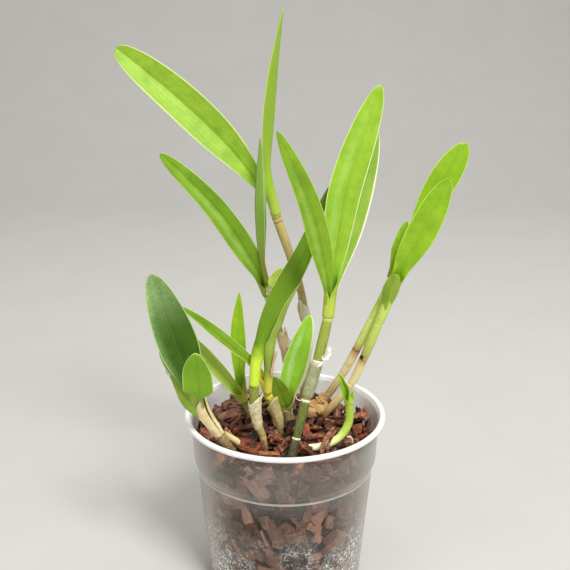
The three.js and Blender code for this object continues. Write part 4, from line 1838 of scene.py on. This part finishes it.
@dataclass
class Studio:
    """A plain pale floor, soft light and the camera at the photograph's angle."""

    camera_place: Point = (0.0, -0.49, 0.3473)
    camera_pitch: float = 18.1
    lens: float = 56.84
    floor_front: float = -3.0
    floor_back: float = 1.0
    floor_half: float = 3.0
    sweep_radius: float = 0.8
    sweep_rows: int = 24
    wall_height: float = 2.5

    def _sweep(self, row: int) -> tuple[float, float]:
        """How far back and how high one row of the floor lies.

        Args:
            row: The row's number, from the front.

        Returns:
            Both.
        """
        if row == 0:
            return self.floor_front, 0.0
        if row > self.sweep_rows:
            return self.floor_back + self.sweep_radius, self.wall_height
        angle = (row - 1) / (self.sweep_rows - 1) * math.pi / 2
        back = self.floor_back + self.sweep_radius * math.sin(angle)
        return back, self.sweep_radius * (1 - math.cos(angle))

    def floor(self) -> None:
        """Lays the floor, which sweeps up behind like a photographer's paper."""
        Bench.clear()
        bpy.ops.mesh.primitive_grid_add(x_subdivisions=2, y_subdivisions=self.sweep_rows + 1, size=1.0)
        floor = bpy.context.object
        floor.name = "floor"
        for vertex in floor.data.vertices:
            row, column = divmod(vertex.index, 3)
            back, rise = self._sweep(row)
            vertex.co = ((column - 1) * self.floor_half, back, rise)
        bpy.ops.object.shade_smooth()
        paint = Paint("floor_paint", roughness=0.8, specular_ior_level=0.1)
        speckle = paint.cloud(paint.place(), 14.0, 4.0)
        floor.data.materials.append(paint.close(base_color=paint.blend(speckle, "bdbbb7", "c4c2be")))

    def light(self) -> None:
        """Hangs the soft lamps and sets the room's own light."""
        world = bpy.data.worlds.new("room")
        world.use_nodes = True
        sky = world.node_tree.nodes["Background"]
        sky.inputs["Color"].default_value = shade("f1f0ec")
        sky.inputs["Strength"].default_value = 0.5
        bpy.context.scene.world = world
        for name, place, size, power in (
            ("key", (0.4, -0.8, 1.3), 0.4, 21.5),
            ("fill", (-1.3, -0.8, 0.9), 1.0, 4.0),
            ("back", (0.2, 0.75, 1.3), 0.9, 5.0),
            ("backdrop", (0.0, 0.3, 2.2), 1.6, 9.0),
        ):
            data = bpy.data.lights.new(name, "AREA")
            data.size = size
            data.energy = power
            lamp = Bench.add(name, data, place)
            aim = Vector((0.0, 1.4, 0.2)) if name == "backdrop" else Vector((0.0, 0.0, 0.17))
            lamp.rotation_euler = (aim - Vector(place)).to_track_quat("-Z", "Y").to_euler()

    def camera(self) -> None:
        """Sets up the camera."""
        data = bpy.data.cameras.new("camera")
        data.lens = self.lens
        data.sensor_width = 36.0
        camera = Bench.add("camera", data, self.camera_place)
        camera.rotation_euler = (math.radians(90 - self.camera_pitch), 0.0, 0.0)
        bpy.context.scene.camera = camera

    def build(self) -> None:
        """Sets up the whole studio."""
        self.camera()
        self.light()
        self.floor()
        bpy.context.scene.view_settings.view_transform = "Standard"


CANES = (
    Stem("cane_1", ((-27, -25, 88), (-32.8, -26.5, 98.5), (-39.7, -28.5, 110.5), (-49, -32, 127)),
         (2.4, 2.6, 2.4, 2.2), 0.2, StemFinish(bands=((0.0, "35200f"), (0.3, "664726"), (0.45, "9c7c4c"),
         (1.0, "a8ae48")), fibre="ecdcb0", fibre_share=0.75, relief=0.0007), knobs=0.14),
    Stem("cane_2", ((-22, 17, 88), (-23, 17, 100), (-26, 16, 109)), (2, 2.2, 2), 0.2,
         StemFinish(bands=((0.0, "8a7440"), (0.5, "a0954c"), (1.0, "9aa83c")))),
    Stem("cane_3", ((-11, -13, 88), (-13.5, -13.5, 99), (-17.5, -12.5, 110), (-18, -12, 129)),
         (2.2, 2.1, 2.3, 3), 0.1, StemFinish(bands=((0.0, "7a6038"), (0.25, "c2ab72"), (0.5, "a59a58"),
         (0.72, "8b9440"), (1.0, "8a9634")), fibre_share=0.25), ring=0),
    Stem("cane_4", ((-2, -2, 88), (-4, -2, 101), (-9.5, -3, 119)), (2.1, 2.1, 2.4), 0.1,
         StemFinish(bands=((0.0, "7a6038"), (0.5, "a4935a"), (0.9, "a8a440"), (1.0, "bcb84a")))),
    Stem("cane_5", ((4, 6, 88), (2.5, 5, 98), (0.5, 4, 108)), (2.1, 2, 2.1), 0.1,
         StemFinish(bands=((0.0, "7a6038"), (0.6, "9c8a50"), (1.0, "a3ad44")))),
    Stem("cane_6", ((10, 38, 88), (13, 38, 112), (14, 38, 142), (9.8, 37, 171), (2.6, 36, 196),
         (-6.2, 34.8, 221.8)), (2.3, 2.4, 2.4, 2.4, 2.6, 2.9), 0.1, StemFinish(bands=((0.0, "7b6238"),
         (0.3, "b0a06c"), (0.6, "bcaa6c"), (0.8, "b8a862"), (0.95, "b4aa58"), (1.0, "b3b24e")),
         fibre="ecc4b2", fibre_share=0.75, ring="6e3e20", rings=(0.955, 0.975), ring_share=0.6,
         ring_width=0.4), ring=0),
    Stem("cane_7", ((6, 33, 88), (3, 31, 112), (-1, 28, 140), (-8, 25, 164), (-11, 24, 175)),
         (1.8, 1.7, 1.9, 2.2, 2.5), 0.1, StemFinish(bands=((0.0, "7b6238"), (0.4, "a88a5e"),
         (0.68, "b4a070"), (0.84, "b7c083"), (1.0, "b2bd74")), fibre="e4ddc4", fibre_share=0.6)),
    Stem("cane_8", ((2.8, -33.5, 88.5), (6.5, -27, 103.5), (12, -22, 125), (18.5, -17, 147),
         (24.8, -11.3, 173.6)), (2.9, 2.3, 2.6, 2.9, 2.7), 0.25, StemFinish(bands=((0.0, "1f150c"),
         (0.2, "3a2c16"), (0.24, "4c4e20"), (0.28, "4c5c14"), (0.48, "667220"), (0.52, "8b8f56"),
         (0.74, "979a60"), (0.78, "8b9730"), (0.965, "97a136"), (0.985, "e2dc80"), (1.0, "cfd45a")),
         fibre="c9c99a", fibre_share=0.4, ring="f4ecd2", ring_share=0.95, rings=(0.25, 0.5, 0.75),
         relief=0.0003)),
    Stem("cane_9", ((19.5, 25.5, 95), (35, 22, 121), (43.5, 20, 139), (52.5, 18, 159), (61.5, 16, 180)),
         (2.2, 2.4, 2.5, 2.8, 3), 0.2, StemFinish(bands=((0.0, "7c5a34"), (0.15, "b8945c"),
         (0.3, "f0dca2"), (0.42, "ead09a"), (0.5, "ac7844"), (0.53, "c4b458"), (0.58, "ccd868"),
         (0.8, "d2e468"), (1.0, "b4d040")), fibre="f2ebc4", fibre_share=0.65, ring="7c4524",
         rings=(0.505,), ring_share=0.7, relief=0.0003), ring=0.06),
    Stem("cane_10", ((24, 19, 95), (40, 15, 118), (47.5, 12, 137), (55, 10, 159), (62.5, 8, 181)),
         (2.2, 2.4, 2.5, 2.8, 3), 0.2, StemFinish(bands=((0.0, "8c6638"), (0.12, "d8bc80"),
         (0.3, "fbefae"), (0.44, "f0dc94"), (0.49, "b48a48"), (0.515, "b09a48"), (0.53, "b4b24c"),
         (0.62, "b8cc4c"), (0.85, "c2d858"), (1.0, "b2cf40")), fibre="faf6d8", ring="170e08",
         rings=(0.505,), ring_share=1.0, ring_width=2.4, patchy=True), ring=0.06),
)
TAN_ROOT = StemFinish(
    bands=((0.0, "7c5329"), (0.35, "c69a5c"), (0.7, "d8b478"), (1.0, "b98a50")),
    fibre="ecd09a",
    fibre_share=0.5,
    rings=NO_RINGS,
    roughness=0.75,
    relief=0.0009,
)
RUNNERS = (
    Stem("rhizome", ((14, 26, 88), (17, 25, 95), (22.5, 22.5, 98.5), (27.5, 20.5, 98.5)),
         (4, 4.6, 3.8, 2.8), 0.6, TAN_ROOT, slot="rhizome", knobs=0.5, ring=0),
    Stem("young_root", ((-35, -24, 105), (-31, -22, 101), (-26.5, -19, 95.5), (-24, -18, 89)),
         (1.6, 1.9, 2, 1.6), 0, StemFinish(bands=((0.0, "c9b67c"), (0.4, "efe3a8"), (1.0, "dccb88")),
         fibre_share=0.15, ring_share=0.0, rings=NO_RINGS), slot="root", ring=0),
    Stem("new_shoot", ((13.8, -26.2, 97.2), (20.8, -25, 97.4), (31, -21, 100.5), (37, -17.5, 109),
         (37, -17, 123)), (1.8, 2.1, 2.2, 2.4, 2.2), 0.1, StemFinish(bands=((0.0, "f6efd2"),
         (0.28, "f4edc4"), (0.45, "dfe494"), (0.62, "b4cc4a"), (1.0, "a0c22e")), fibre="e4e28e",
         fibre_share=0.3, ring="e6e7a4", ring_share=0.2), slot="shoot", ring=0),
)
SLEEVES = (
    Sleeve("sheath_1", ((-37.4, -28.1, 106.5), (-41.5, -28.6, 113.4), (-45.6, -30.5, 121.9),
           (-48, -32.3, 131)), (2.9, 3.2, 3.6, 3.5), (-0.76, 0.65, 0),
           (2.5, -1.5, -8, -6.5, -1, 0.5, 3.5), 0.05, SleeveFinish(paper="f0d698", stain="ba965c",
           pale="fdf4d8"), (178.0, 168.0)),
    Sleeve("sheath_3", ((-15.6, -12.9, 102.5), (-16.7, -12.7, 109.5), (-17.4, -12.5, 116.5),
           (-17.3, -12.2, 121.5)), (2.3, 2.8, 3.4, 3.5), (-0.6, -1, 0),
           (3.5, 4.0, 1.5, -2.5, -3.0, -1.5, 0.5), 0.1, SleeveFinish(paper="dccb98", stain="a08a54",
           pale="fdf8e4", stain_share=0.75, pale_share=0.75), (178.0, 160.0)),
    Sleeve("sheath_4", ((-2.8, -2, 97.5), (-4.5, -2.2, 105.5), (-7.5, -2.8, 114.5)), (2.1, 2.8, 3.6),
           (0.6, -1, 0), (-2, 0, 3.5, 4.5, 0.5, -2, -3), 0.08, SleeveFinish(paper="bda868",
           stain="8d7a48", pale="e8dfb8", stain_share=0.6)),
    Sleeve("sheath_5", ((3, 5.5, 96), (2, 4.8, 102), (0.7, 4.1, 107.5)), (2.4, 2.8, 3.2), (0.8, -1, 0),
           (-1, 1, 0, -1.5, 1, -2, -1), 0.08, SleeveFinish(paper="b39a58", stain="7c6034")),
    Sleeve("sheath_6", ((13.8, 38, 148), (12.7, 37.6, 157), (10.8, 37.2, 166.5)), (2.5, 2.5, 2.5),
           (-1.0, -0.3, 0), (-6, -5, -1, 0.6, 0, -4, -6), 0.03, SleeveFinish(paper="fff6dc",
           stain="ecd2a0", pale="ffffff")),
    Sleeve("sheath_7", ((1.5, 30, 122), (0.5, 29, 132), (-0.8, 28.2, 141), (-2.4, 27.5, 149.5)),
           (1.7, 2.3, 3.1, 2.5), (-0.3, -1.0, 0), (0, 0.8, -0.6, -1, 0.5, 0.8, 0), 0.08,
           SleeveFinish(paper="dabb8c", stain="a07e54", pale="fbeed2", stain_share=0.6)),
    Sleeve("sheath_8", ((12.8, -21.4, 127.5), (15.2, -19.6, 135.5), (18.2, -17.2, 146.2)), (3, 3.1, 3.15),
           (-0.5, -1, 0), (0, 0.5, -0.3, 0.1, -0.4, -0.2, 0), 0.02, SleeveFinish(paper="8e9262",
           stain="6c743a", pale="d4d4b2", stain_share=0.55, pale_share=0.5), (180.0, 177.0)),
)
LEAVES = (
    Leaf("leaf_1a", ((-54, -29, 145), (-62.5, -25, 170), (-74, -18, 199)), 23, 3.1, 0.32, 10,
         (0.25, -1, 0.25), 0.55, 0.5, LeafTone.PAINTED_SHEEN, crowns="cane_1", closed=0.06),
    Leaf("leaf_1b", ((-47.5, -35, 126.5), (-47, -41.5, 139.5), (-47, -49, 155), (-47, -55, 167.5)), 16.8,
         2.2, 0.28, 6, (0, -1, 0.9), 0.4, 0.5, LeafTone.ROUND, wrap=100, neck=0.2),
    Leaf("leaf_1c", ((-45.6, -29.7, 118.6), (-49.2, -31, 123.2), (-53.4, -30.6, 129.5),
         (-60.2, -25.5, 142), (-70.6, -21, 154)), 10.4, 2.2, 0.7, 8, (-0.3, 1, -0.2), 0.6, 0.8,
         LeafTone.TATTERED, closed=0.3),
    Leaf("leaf_2a", ((-34, 11, 121), (-49, 4, 143.5), (-61, -3, 162)), 9.2, 2.7, 0.35, 10, (0.4, -1, 0.5),
         0.5, 0.7, LeafTone.OLIVE, crowns="cane_2", closed=0.1),
    Leaf("leaf_2b", ((-26.2, 16.3, 108.5), (-28, 18, 130), (-28.5, 20, 152), (-27.5, 22, 175)), 9.5, 2.6,
         0.35, 8, (0, -1, 0.1), 0.5, 0.75, LeafTone.FRESH, closed=0.08),
    Leaf("leaf_3a", ((-18, -11.7, 129), (-15.5, -8, 149), (-5.5, 1, 174), (11.5, 9, 206), (25, 16, 241)),
         13, 2.6, 0.42, 8, (0.2, 1, -0.2), 0.55, 0.9, LeafTone.BROAD, closed=0.16),
    Leaf("leaf_4a", ((-16, -3, 135), (-31.8, -6, 152.5), (-47, -9, 167), (-61, -12, 179.5)), 8, 2.2, 0.3,
         20, (0.5, -0.7, 0.7), 0.5, 0.7, LeafTone.YELLOW_FOOT, crowns="cane_4", closed=0.08),
    Leaf("leaf_4b", ((-10.5, -4.3, 121.5), (-9.6, -6, 136.3), (-8.6, -8, 148.8), (-5.6, -9.8, 158.8),
         (-2.2, -11.5, 167.5), (1.4, -13.8, 179), (7.8, -15, 192.5)), 6.2, 2.1, 0.55, 62,
         (-0.95, 0.35, 0.3), 0.5, 0.8, LeafTone.FOLDED, closed=0.3, cup=3.0),
    Leaf("leaf_5a", ((4, 1, 127), (9.5, -1.5, 149), (14.5, -4, 170)), 15.5, 1.8, 0.3, 12, (-0.1, -1, 0.1),
         0.45, 0.55, LeafTone.GLOSSY, crowns="cane_5", neck=-0.06),
    Leaf("leaf_5b", ((0.6, 0.6, 107.5), (-1, -0.3, 113.5), (-3.5, -1, 121.5), (-7.2, -1.5, 130.5)), 11.8,
         1.6, 0.3, 10, (0.2, -1, 0.2), 0.5, 0.6, LeafTone.DEEP, wrap=90, neck=0.0),
    Leaf("leaf_6a", ((-9.5, 33, 241), (-9.8, 30.5, 273), (-6, 28, 306), (-1.5, 26, 338)), 19, 2.7, 0.4, 0,
         (-0.95, 0.34, 0), 0.5, 0.85, LeafTone.FRESH, crowns="cane_6", closed=0.12, cup=2.0),
    Leaf("leaf_6b", ((-8.5, 34.6, 228.5), (-15.5, 36.5, 238), (-34.5, 40, 261), (-63.5, 43, 288.5),
         (-97.5, 46, 316)), 24.5, 2, 0.25, 22, (0.1, -1, 0.15), 0.66, 0.42, LeafTone.BIG, wrap=120),
    Leaf("leaf_7a", ((-19, 22, 194), (-40.5, 17, 229), (-69.5, 10, 261)), 14.5, 2.6, 0.32, 14,
         (0, -1, 0.2), 0.5, 0.45, LeafTone.DARK, crowns="cane_7", closed=0.06),
    Leaf("leaf_7b", ((-10.5, 21.5, 181), (-15.5, 18.5, 206), (-16.5, 17.5, 236), (-14, 17, 268.5)), 12,
         1.2, 0.3, 62, (1, -0.15, 0), 0.5, 0.8, LeafTone.OLD_FOOT),
    Leaf("leaf_7c", ((-8.8, 20.5, 175.5), (-5.8, 20, 183.5), (-1.8, 19.5, 191.2)), 8, 2, 0.3, 12,
         (0.1, -1, 0.4), 0.45, 0.5, LeafTone.NEW, wrap=70),
    Leaf("leaf_8b", ((27.5, -8, 204), (34, -5, 247), (50.5, -7, 300)), 19, 3, 0.34, 10, (-0.2, -1, 0.1),
         0.65, 0.5, LeafTone.TALL, crowns="cane_8", closed=0.1),
    Leaf("leaf_8a", ((24.1, -11, 176.5), (22.6, -14.2, 199), (13, -17, 238), (-4, -20, 278)), 12.8, 1.7,
         0.25, 6, (0.15, -1, 0.1), 0.55, 0.6, LeafTone.LIME, closed=0.05),
    Leaf("leaf_8c", ((26, -8.8, 178), (32.5, -2, 205), (43, 4, 243), (51, 7, 274)), 15, 1.8, 0.2, 4,
         (0.2, -1, 0.15), 0.5, 0.65, LeafTone.PAPER_EDGE, wrap=60, cup=3.0),
    Leaf("leaf_9a", ((71.8, 16.2, 201.5), (84.5, 17, 233.5), (102, 15, 266)), 17, 3, 0.35, 12,
         (-0.2, -1, 0.2), 0.78, 0.5, LeafTone.FRESH, crowns="cane_9", neck=0.25),
    Leaf("leaf_9b", ((62.2, 19.4, 185), (65.6, 20, 197), (68, 20.4, 207), (71.4, 21, 219.5)), 8.4, 2, 0.3,
         10, (-0.4, -1, 0.1), 0.5, 0.5, LeafTone.FRESH, wrap=80),
    Leaf("leaf_10a", ((68.5, 5, 199), (79, 2, 222), (90.2, -1, 248.8)), 17.2, 3, 0.35, 8,
         (-0.1, -1, 0.15), 0.6, 0.45, LeafTone.FRESH, crowns="cane_10", closed=0.05),
    Leaf("leaf_10b", ((58.3, 8.4, 168), (60.6, 4.6, 179.5), (64, 1.3, 193.2)), 9.8, 1.4, 0.4, 18,
         (0.2, 1, 0.1), 0.55, 0.5, LeafTone.SHEATH, wrap=100, neck=0.0),
    Leaf("shoot_leaf", ((35, -17.5, 131), (31, -18, 140)), 6.5, 2.3, 0.5, 30, (-0.6, -1, 0.3), 0.4, 0.7,
         LeafTone.FRESH, crowns="new_shoot"),
)
PAPER = SleeveFinish(paper="d8caa2", stain="a58c5c", pale="f4efdc")
WHITE_PAPER = SleeveFinish(paper="eeead8", stain="d0c8a6", pale="fdfbf4", stain_share=0.3)
PINK_PAPER = SleeveFinish(paper="dcb898", stain="a07850", pale="f2e2cc")
WHITE_ROOT = StemFinish(bands=((0.0, "f6f3e6"), (1.0, "e4dcc0")), fibre_share=0.1, rings=NO_RINGS)
SCRAPS = (
    (Scrap("cane_8_tear", ((20.6, -18.6, 149.2), (23.6, -18.2, 151.2), (24.9, -17.5, 156.2)), 4.6,
           (0.6, -0.6, 0.4), curl=75.0, ragged=0.6), WHITE_PAPER),
    (Scrap("cane_8_fray", ((17.6, -20.5, 145.2), (19.6, -20.8, 146.2), (21.5, -19.6, 148)), 1.6,
           (-0.2, -1, 0.5), curl=60.0, ragged=0.6), WHITE_PAPER),
    (Scrap("leaf_1c_tear", ((-66.5, -23.5, 152.5), (-69.2, -23.5, 155.3), (-70.2, -23.5, 158)), 1.8,
           (0.3, -1, 0), ragged=0.6), WHITE_PAPER),
    (Scrap("leaf_1c_fray", ((-63.8, -29, 143.7), (-65.5, -29, 145.2), (-66, -29, 146.8)), 1.8,
           (0.3, -1, 0), ragged=0.6), WHITE_PAPER),
    (Scrap("cane_7_tear", ((-10.5, 21.2, 173.5), (-10.3, 20.5, 177), (-9.2, 20.5, 180.5)), 3.4,
           (0.4, -1, 0), curl=70.0, ragged=0.6), PAPER),
    (Scrap("cane_7_scrap", ((-8.2, 21, 172.5), (-6.8, 20.6, 175.5), (-7.2, 20.6, 178.5)), 2.4,
           (-0.2, -1, 0), curl=70.0, ragged=0.6), WHITE_PAPER),
    (Scrap("cane_7_skin", ((-10.8, 21.5, 166.5), (-9.8, 22.2, 161), (-8.2, 23, 155)), 2.4, (-0.8, -1, 0),
           curl=60.0, ragged=0.5), WHITE_PAPER),
    (Scrap("sheath_6_strip", ((11.2, 33.5, 151), (9.2, 34, 157.5), (8.2, 34.5, 165)), 2, (-0.3, -1, 0),
           curl=60.0, ragged=0.4), PAPER),
    (Scrap("sheath_7_tip", ((1.4, 25, 138.5), (2.6, 24.6, 141.5), (3.4, 24.4, 144.2)), 2.8, (0.3, -1, 0),
           curl=60.0, ragged=0.5), WHITE_PAPER),
    (Scrap("leaf_4b_skin", ((-8.2, -8.5, 133.5), (-7.3, -9.5, 140), (-6.2, -10.5, 146),
           (-4.8, -11.5, 151.8)), 2.2, (0.5, -1, 0), curl=50.0, ragged=0.5), PINK_PAPER),
    (Scrap("cane_5_scrap", ((9, -4, 100), (10.5, -6, 107), (11.5, -8, 114.5)), 2.4, (-0.3, -1, 0),
           curl=50.0, ragged=0.5), PAPER),
    (Scrap("shoot_nub", ((37.8, -17.4, 118.5), (39.3, -16.6, 123.5), (39.6, -16.2, 128.2)), 3.4,
           (-1, -0.4, 0.1), slot="shoot", curl=110.0, thickness=0.8, ragged=0.05), LeafTone.FRESH),
)
STRIPS = (
    Scrap("bark_strip_a", ((20.8, -31.8, 93.5), (21.6, -31.5, 101.8), (24.2, -30.2, 106.8),
          (27.9, -28.5, 110.9)), 2.7, (0.3, -1, 0.1), slot="bark", curl=50.0, thickness=1.2, ragged=0.2),
    Scrap("bark_strip_b", ((24.7, -30.8, 93.5), (24.4, -30.5, 100), (26.2, -29.8, 105.2),
          (29.2, -28, 109)), 2, (0.5, -1, 0.1), slot="bark", curl=50.0, thickness=1.2, ragged=0.3),
)
EXTRAS = (
    Stem("rootlet_a", ((10.2, -22.5, 125.5), (8.8, -24.5, 126.2), (6.9, -26.2, 127.6),
         (6.1, -26.5, 129.8)), (0.2, 0.26, 0.26, 0.2), 0, WHITE_ROOT, "root", 0),
    Stem("rootlet_b", ((23.8, -19.5, 138.5), (22.2, -19.5, 136.5), (20.5, -19.2, 134.2)),
         (0.2, 0.25, 0.2), 0, WHITE_ROOT, "root", 0),
    Stem("rootlet_c", ((36, -20.5, 100.8), (37.5, -20.5, 101.3), (39, -20.5, 99.8), (39.2, -20.5, 97.5)),
         (0.3, 0.4, 0.4, 0.3), 0, WHITE_ROOT, "root", 0),
    Stem("rhizome_knob_a", ((13.5, 23, 94), (15.8, 20.5, 100), (18.2, 19.5, 104.5)), (2.6, 3.4, 1.8), 0.8,
         TAN_ROOT, "rhizome", 0, 0.6),
    Stem("rhizome_knob_b", ((18.5, 21.5, 94), (16.5, 16.5, 98.5), (14.2, 13, 98.5)), (2.2, 3.2, 1.6), 0.6,
         TAN_ROOT, "rhizome", 0, 0.6),
    Stem("rhizome_knob_c", ((19.5, 21.5, 96), (21.2, 16.5, 100.5), (22.5, 13.5, 98.5)), (2.2, 2.6, 1.2),
         0.5, TAN_ROOT, "rhizome", 0, 0.6),
    Stem("rhizome_knob_d", ((19, 24, 98.5), (22.2, 22.2, 104), (24.5, 22, 108.5)), (2.6, 2.8, 1.8), 0.4,
         TAN_ROOT, "rhizome", 0, 0.5),
)
CHIPS = (
    Chip((-21.5, -23.5, 96.6), (19, 13.5, 10.5), (0.45, -0.3, -0.5), 0.41, 1),
    Chip((-9.5, -31.5, 95.5), (14, 7, 4), (0.2, 0.0, 0.1), 0.95, 2),
    Chip((12.2, -29.8, 97.2), (8.5, 6.2, 6.8), (0.6, 0.3, 0.4), 0.6, 4),
    Chip((-3.5, -14.5, 96.5), (13.5, 9.5, 6.5), (0.6, 0.35, 0.9), 0.84, 3),
    Chip((0.5, -22.5, 95.5), (11, 7, 5.5), (0.7, 0.3, 1.4), 0.7, 4),
    Chip((43.6, 17.5, 96.5), (14, 7, 4.5), (0.3, 0.1, 0.3), 0.8, 5),
    Chip((48.5, 16.5, 98), (10.5, 8.5, 6), (0.5, -0.2, 1.0), 0.95, 6),
    Chip((-33, 33, 96.5), (19, 12, 6.5), (0.35, 0.0, 0.2), 0.72, 7),
    Chip((-27, 43.5, 98.5), (18, 10, 6.5), (0.4, 0.1, 0.1), 0.87, 8),
    Chip((-42, -9.5, 95.5), (13, 7, 4.5), (0.3, 0.3, 1.2), 0.87, 9),
    Chip((-49, -4, 95.5), (10.5, 6, 4.5), (0.3, 0.1, 1.7), 0.95, 10),
    Chip((-23, 3, 95.5), (20, 6, 4.5), (0.3, 0.1, 0.5), 0.12, 11),
    Chip((-33.5, 13.5, 96.5), (18, 10.5, 6), (0.2, -0.2, 0.4), 0.5, 0),
    Chip((-44.5, 18, 97.5), (13, 9, 6), (0.1, -0.3, 1.3), 0.35, 5),
    Chip((18, -10.5, 95.5), (16, 6.5, 4.5), (0.5, 0.1, 0.6), 0.7, 2),
    Chip((30, -2, 95.5), (15, 6, 4.5), (0.4, 0.2, 0.3), 0.35, 3),
    Chip((24.5, -36, 94.5), (17, 6.5, 4), (0.3, 0.0, 0.1), 0.6, 6),
    Chip((37.5, -24, 94.5), (14, 7.5, 4), (0.3, 0.1, 0.8), 0.25, 7),
    Chip((12, -33.5, 94.5), (12, 6, 4.5), (0.4, 0.3, 1.9), 0.1, 8),
    Chip((9.5, -26, 94), (9, 5.5, 5), (0.6, 0.2, 0.9), 0.3, 9),
)


def main() -> None:
    """Builds and dresses every piece."""
    logging.basicConfig(level=logging.INFO, format="%(name)s %(message)s", stream=sys.stdout)
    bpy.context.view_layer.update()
    Studio().build()
    stems = {stem.node: stem for stem in CANES + RUNNERS}
    for stem in stems.values():
        stem.dress(stem.build())
    for extra in EXTRAS:
        extra.dress(extra.build())
    for sleeve in SLEEVES:
        sleeve.dress(sleeve.build())
    tones = {tone: tone.value.paint("leaf_" + tone.name.lower()) for tone in LeafTone}
    for leaf in LEAVES:
        leaf.dress(leaf.build(stems), tones)
    for scrap, finish in SCRAPS:
        material = tones[finish] if isinstance(finish, LeafTone) else finish.paint(scrap.name)
        scrap.dress(scrap.build(), material)
    pot = Pot()
    pot.dress(pot.build())
    bark = Bark(pot, chosen=CHIPS)
    bark_material = bark.finish.paint("bark")
    bark.dress(bark.build(), bark_material)
    for strip in STRIPS:
        piece = strip.build()
        bark.mark(piece, bark.STRIP_TONE)
        strip.dress(piece, bark_material)


if __name__ == "__main__":
    main()
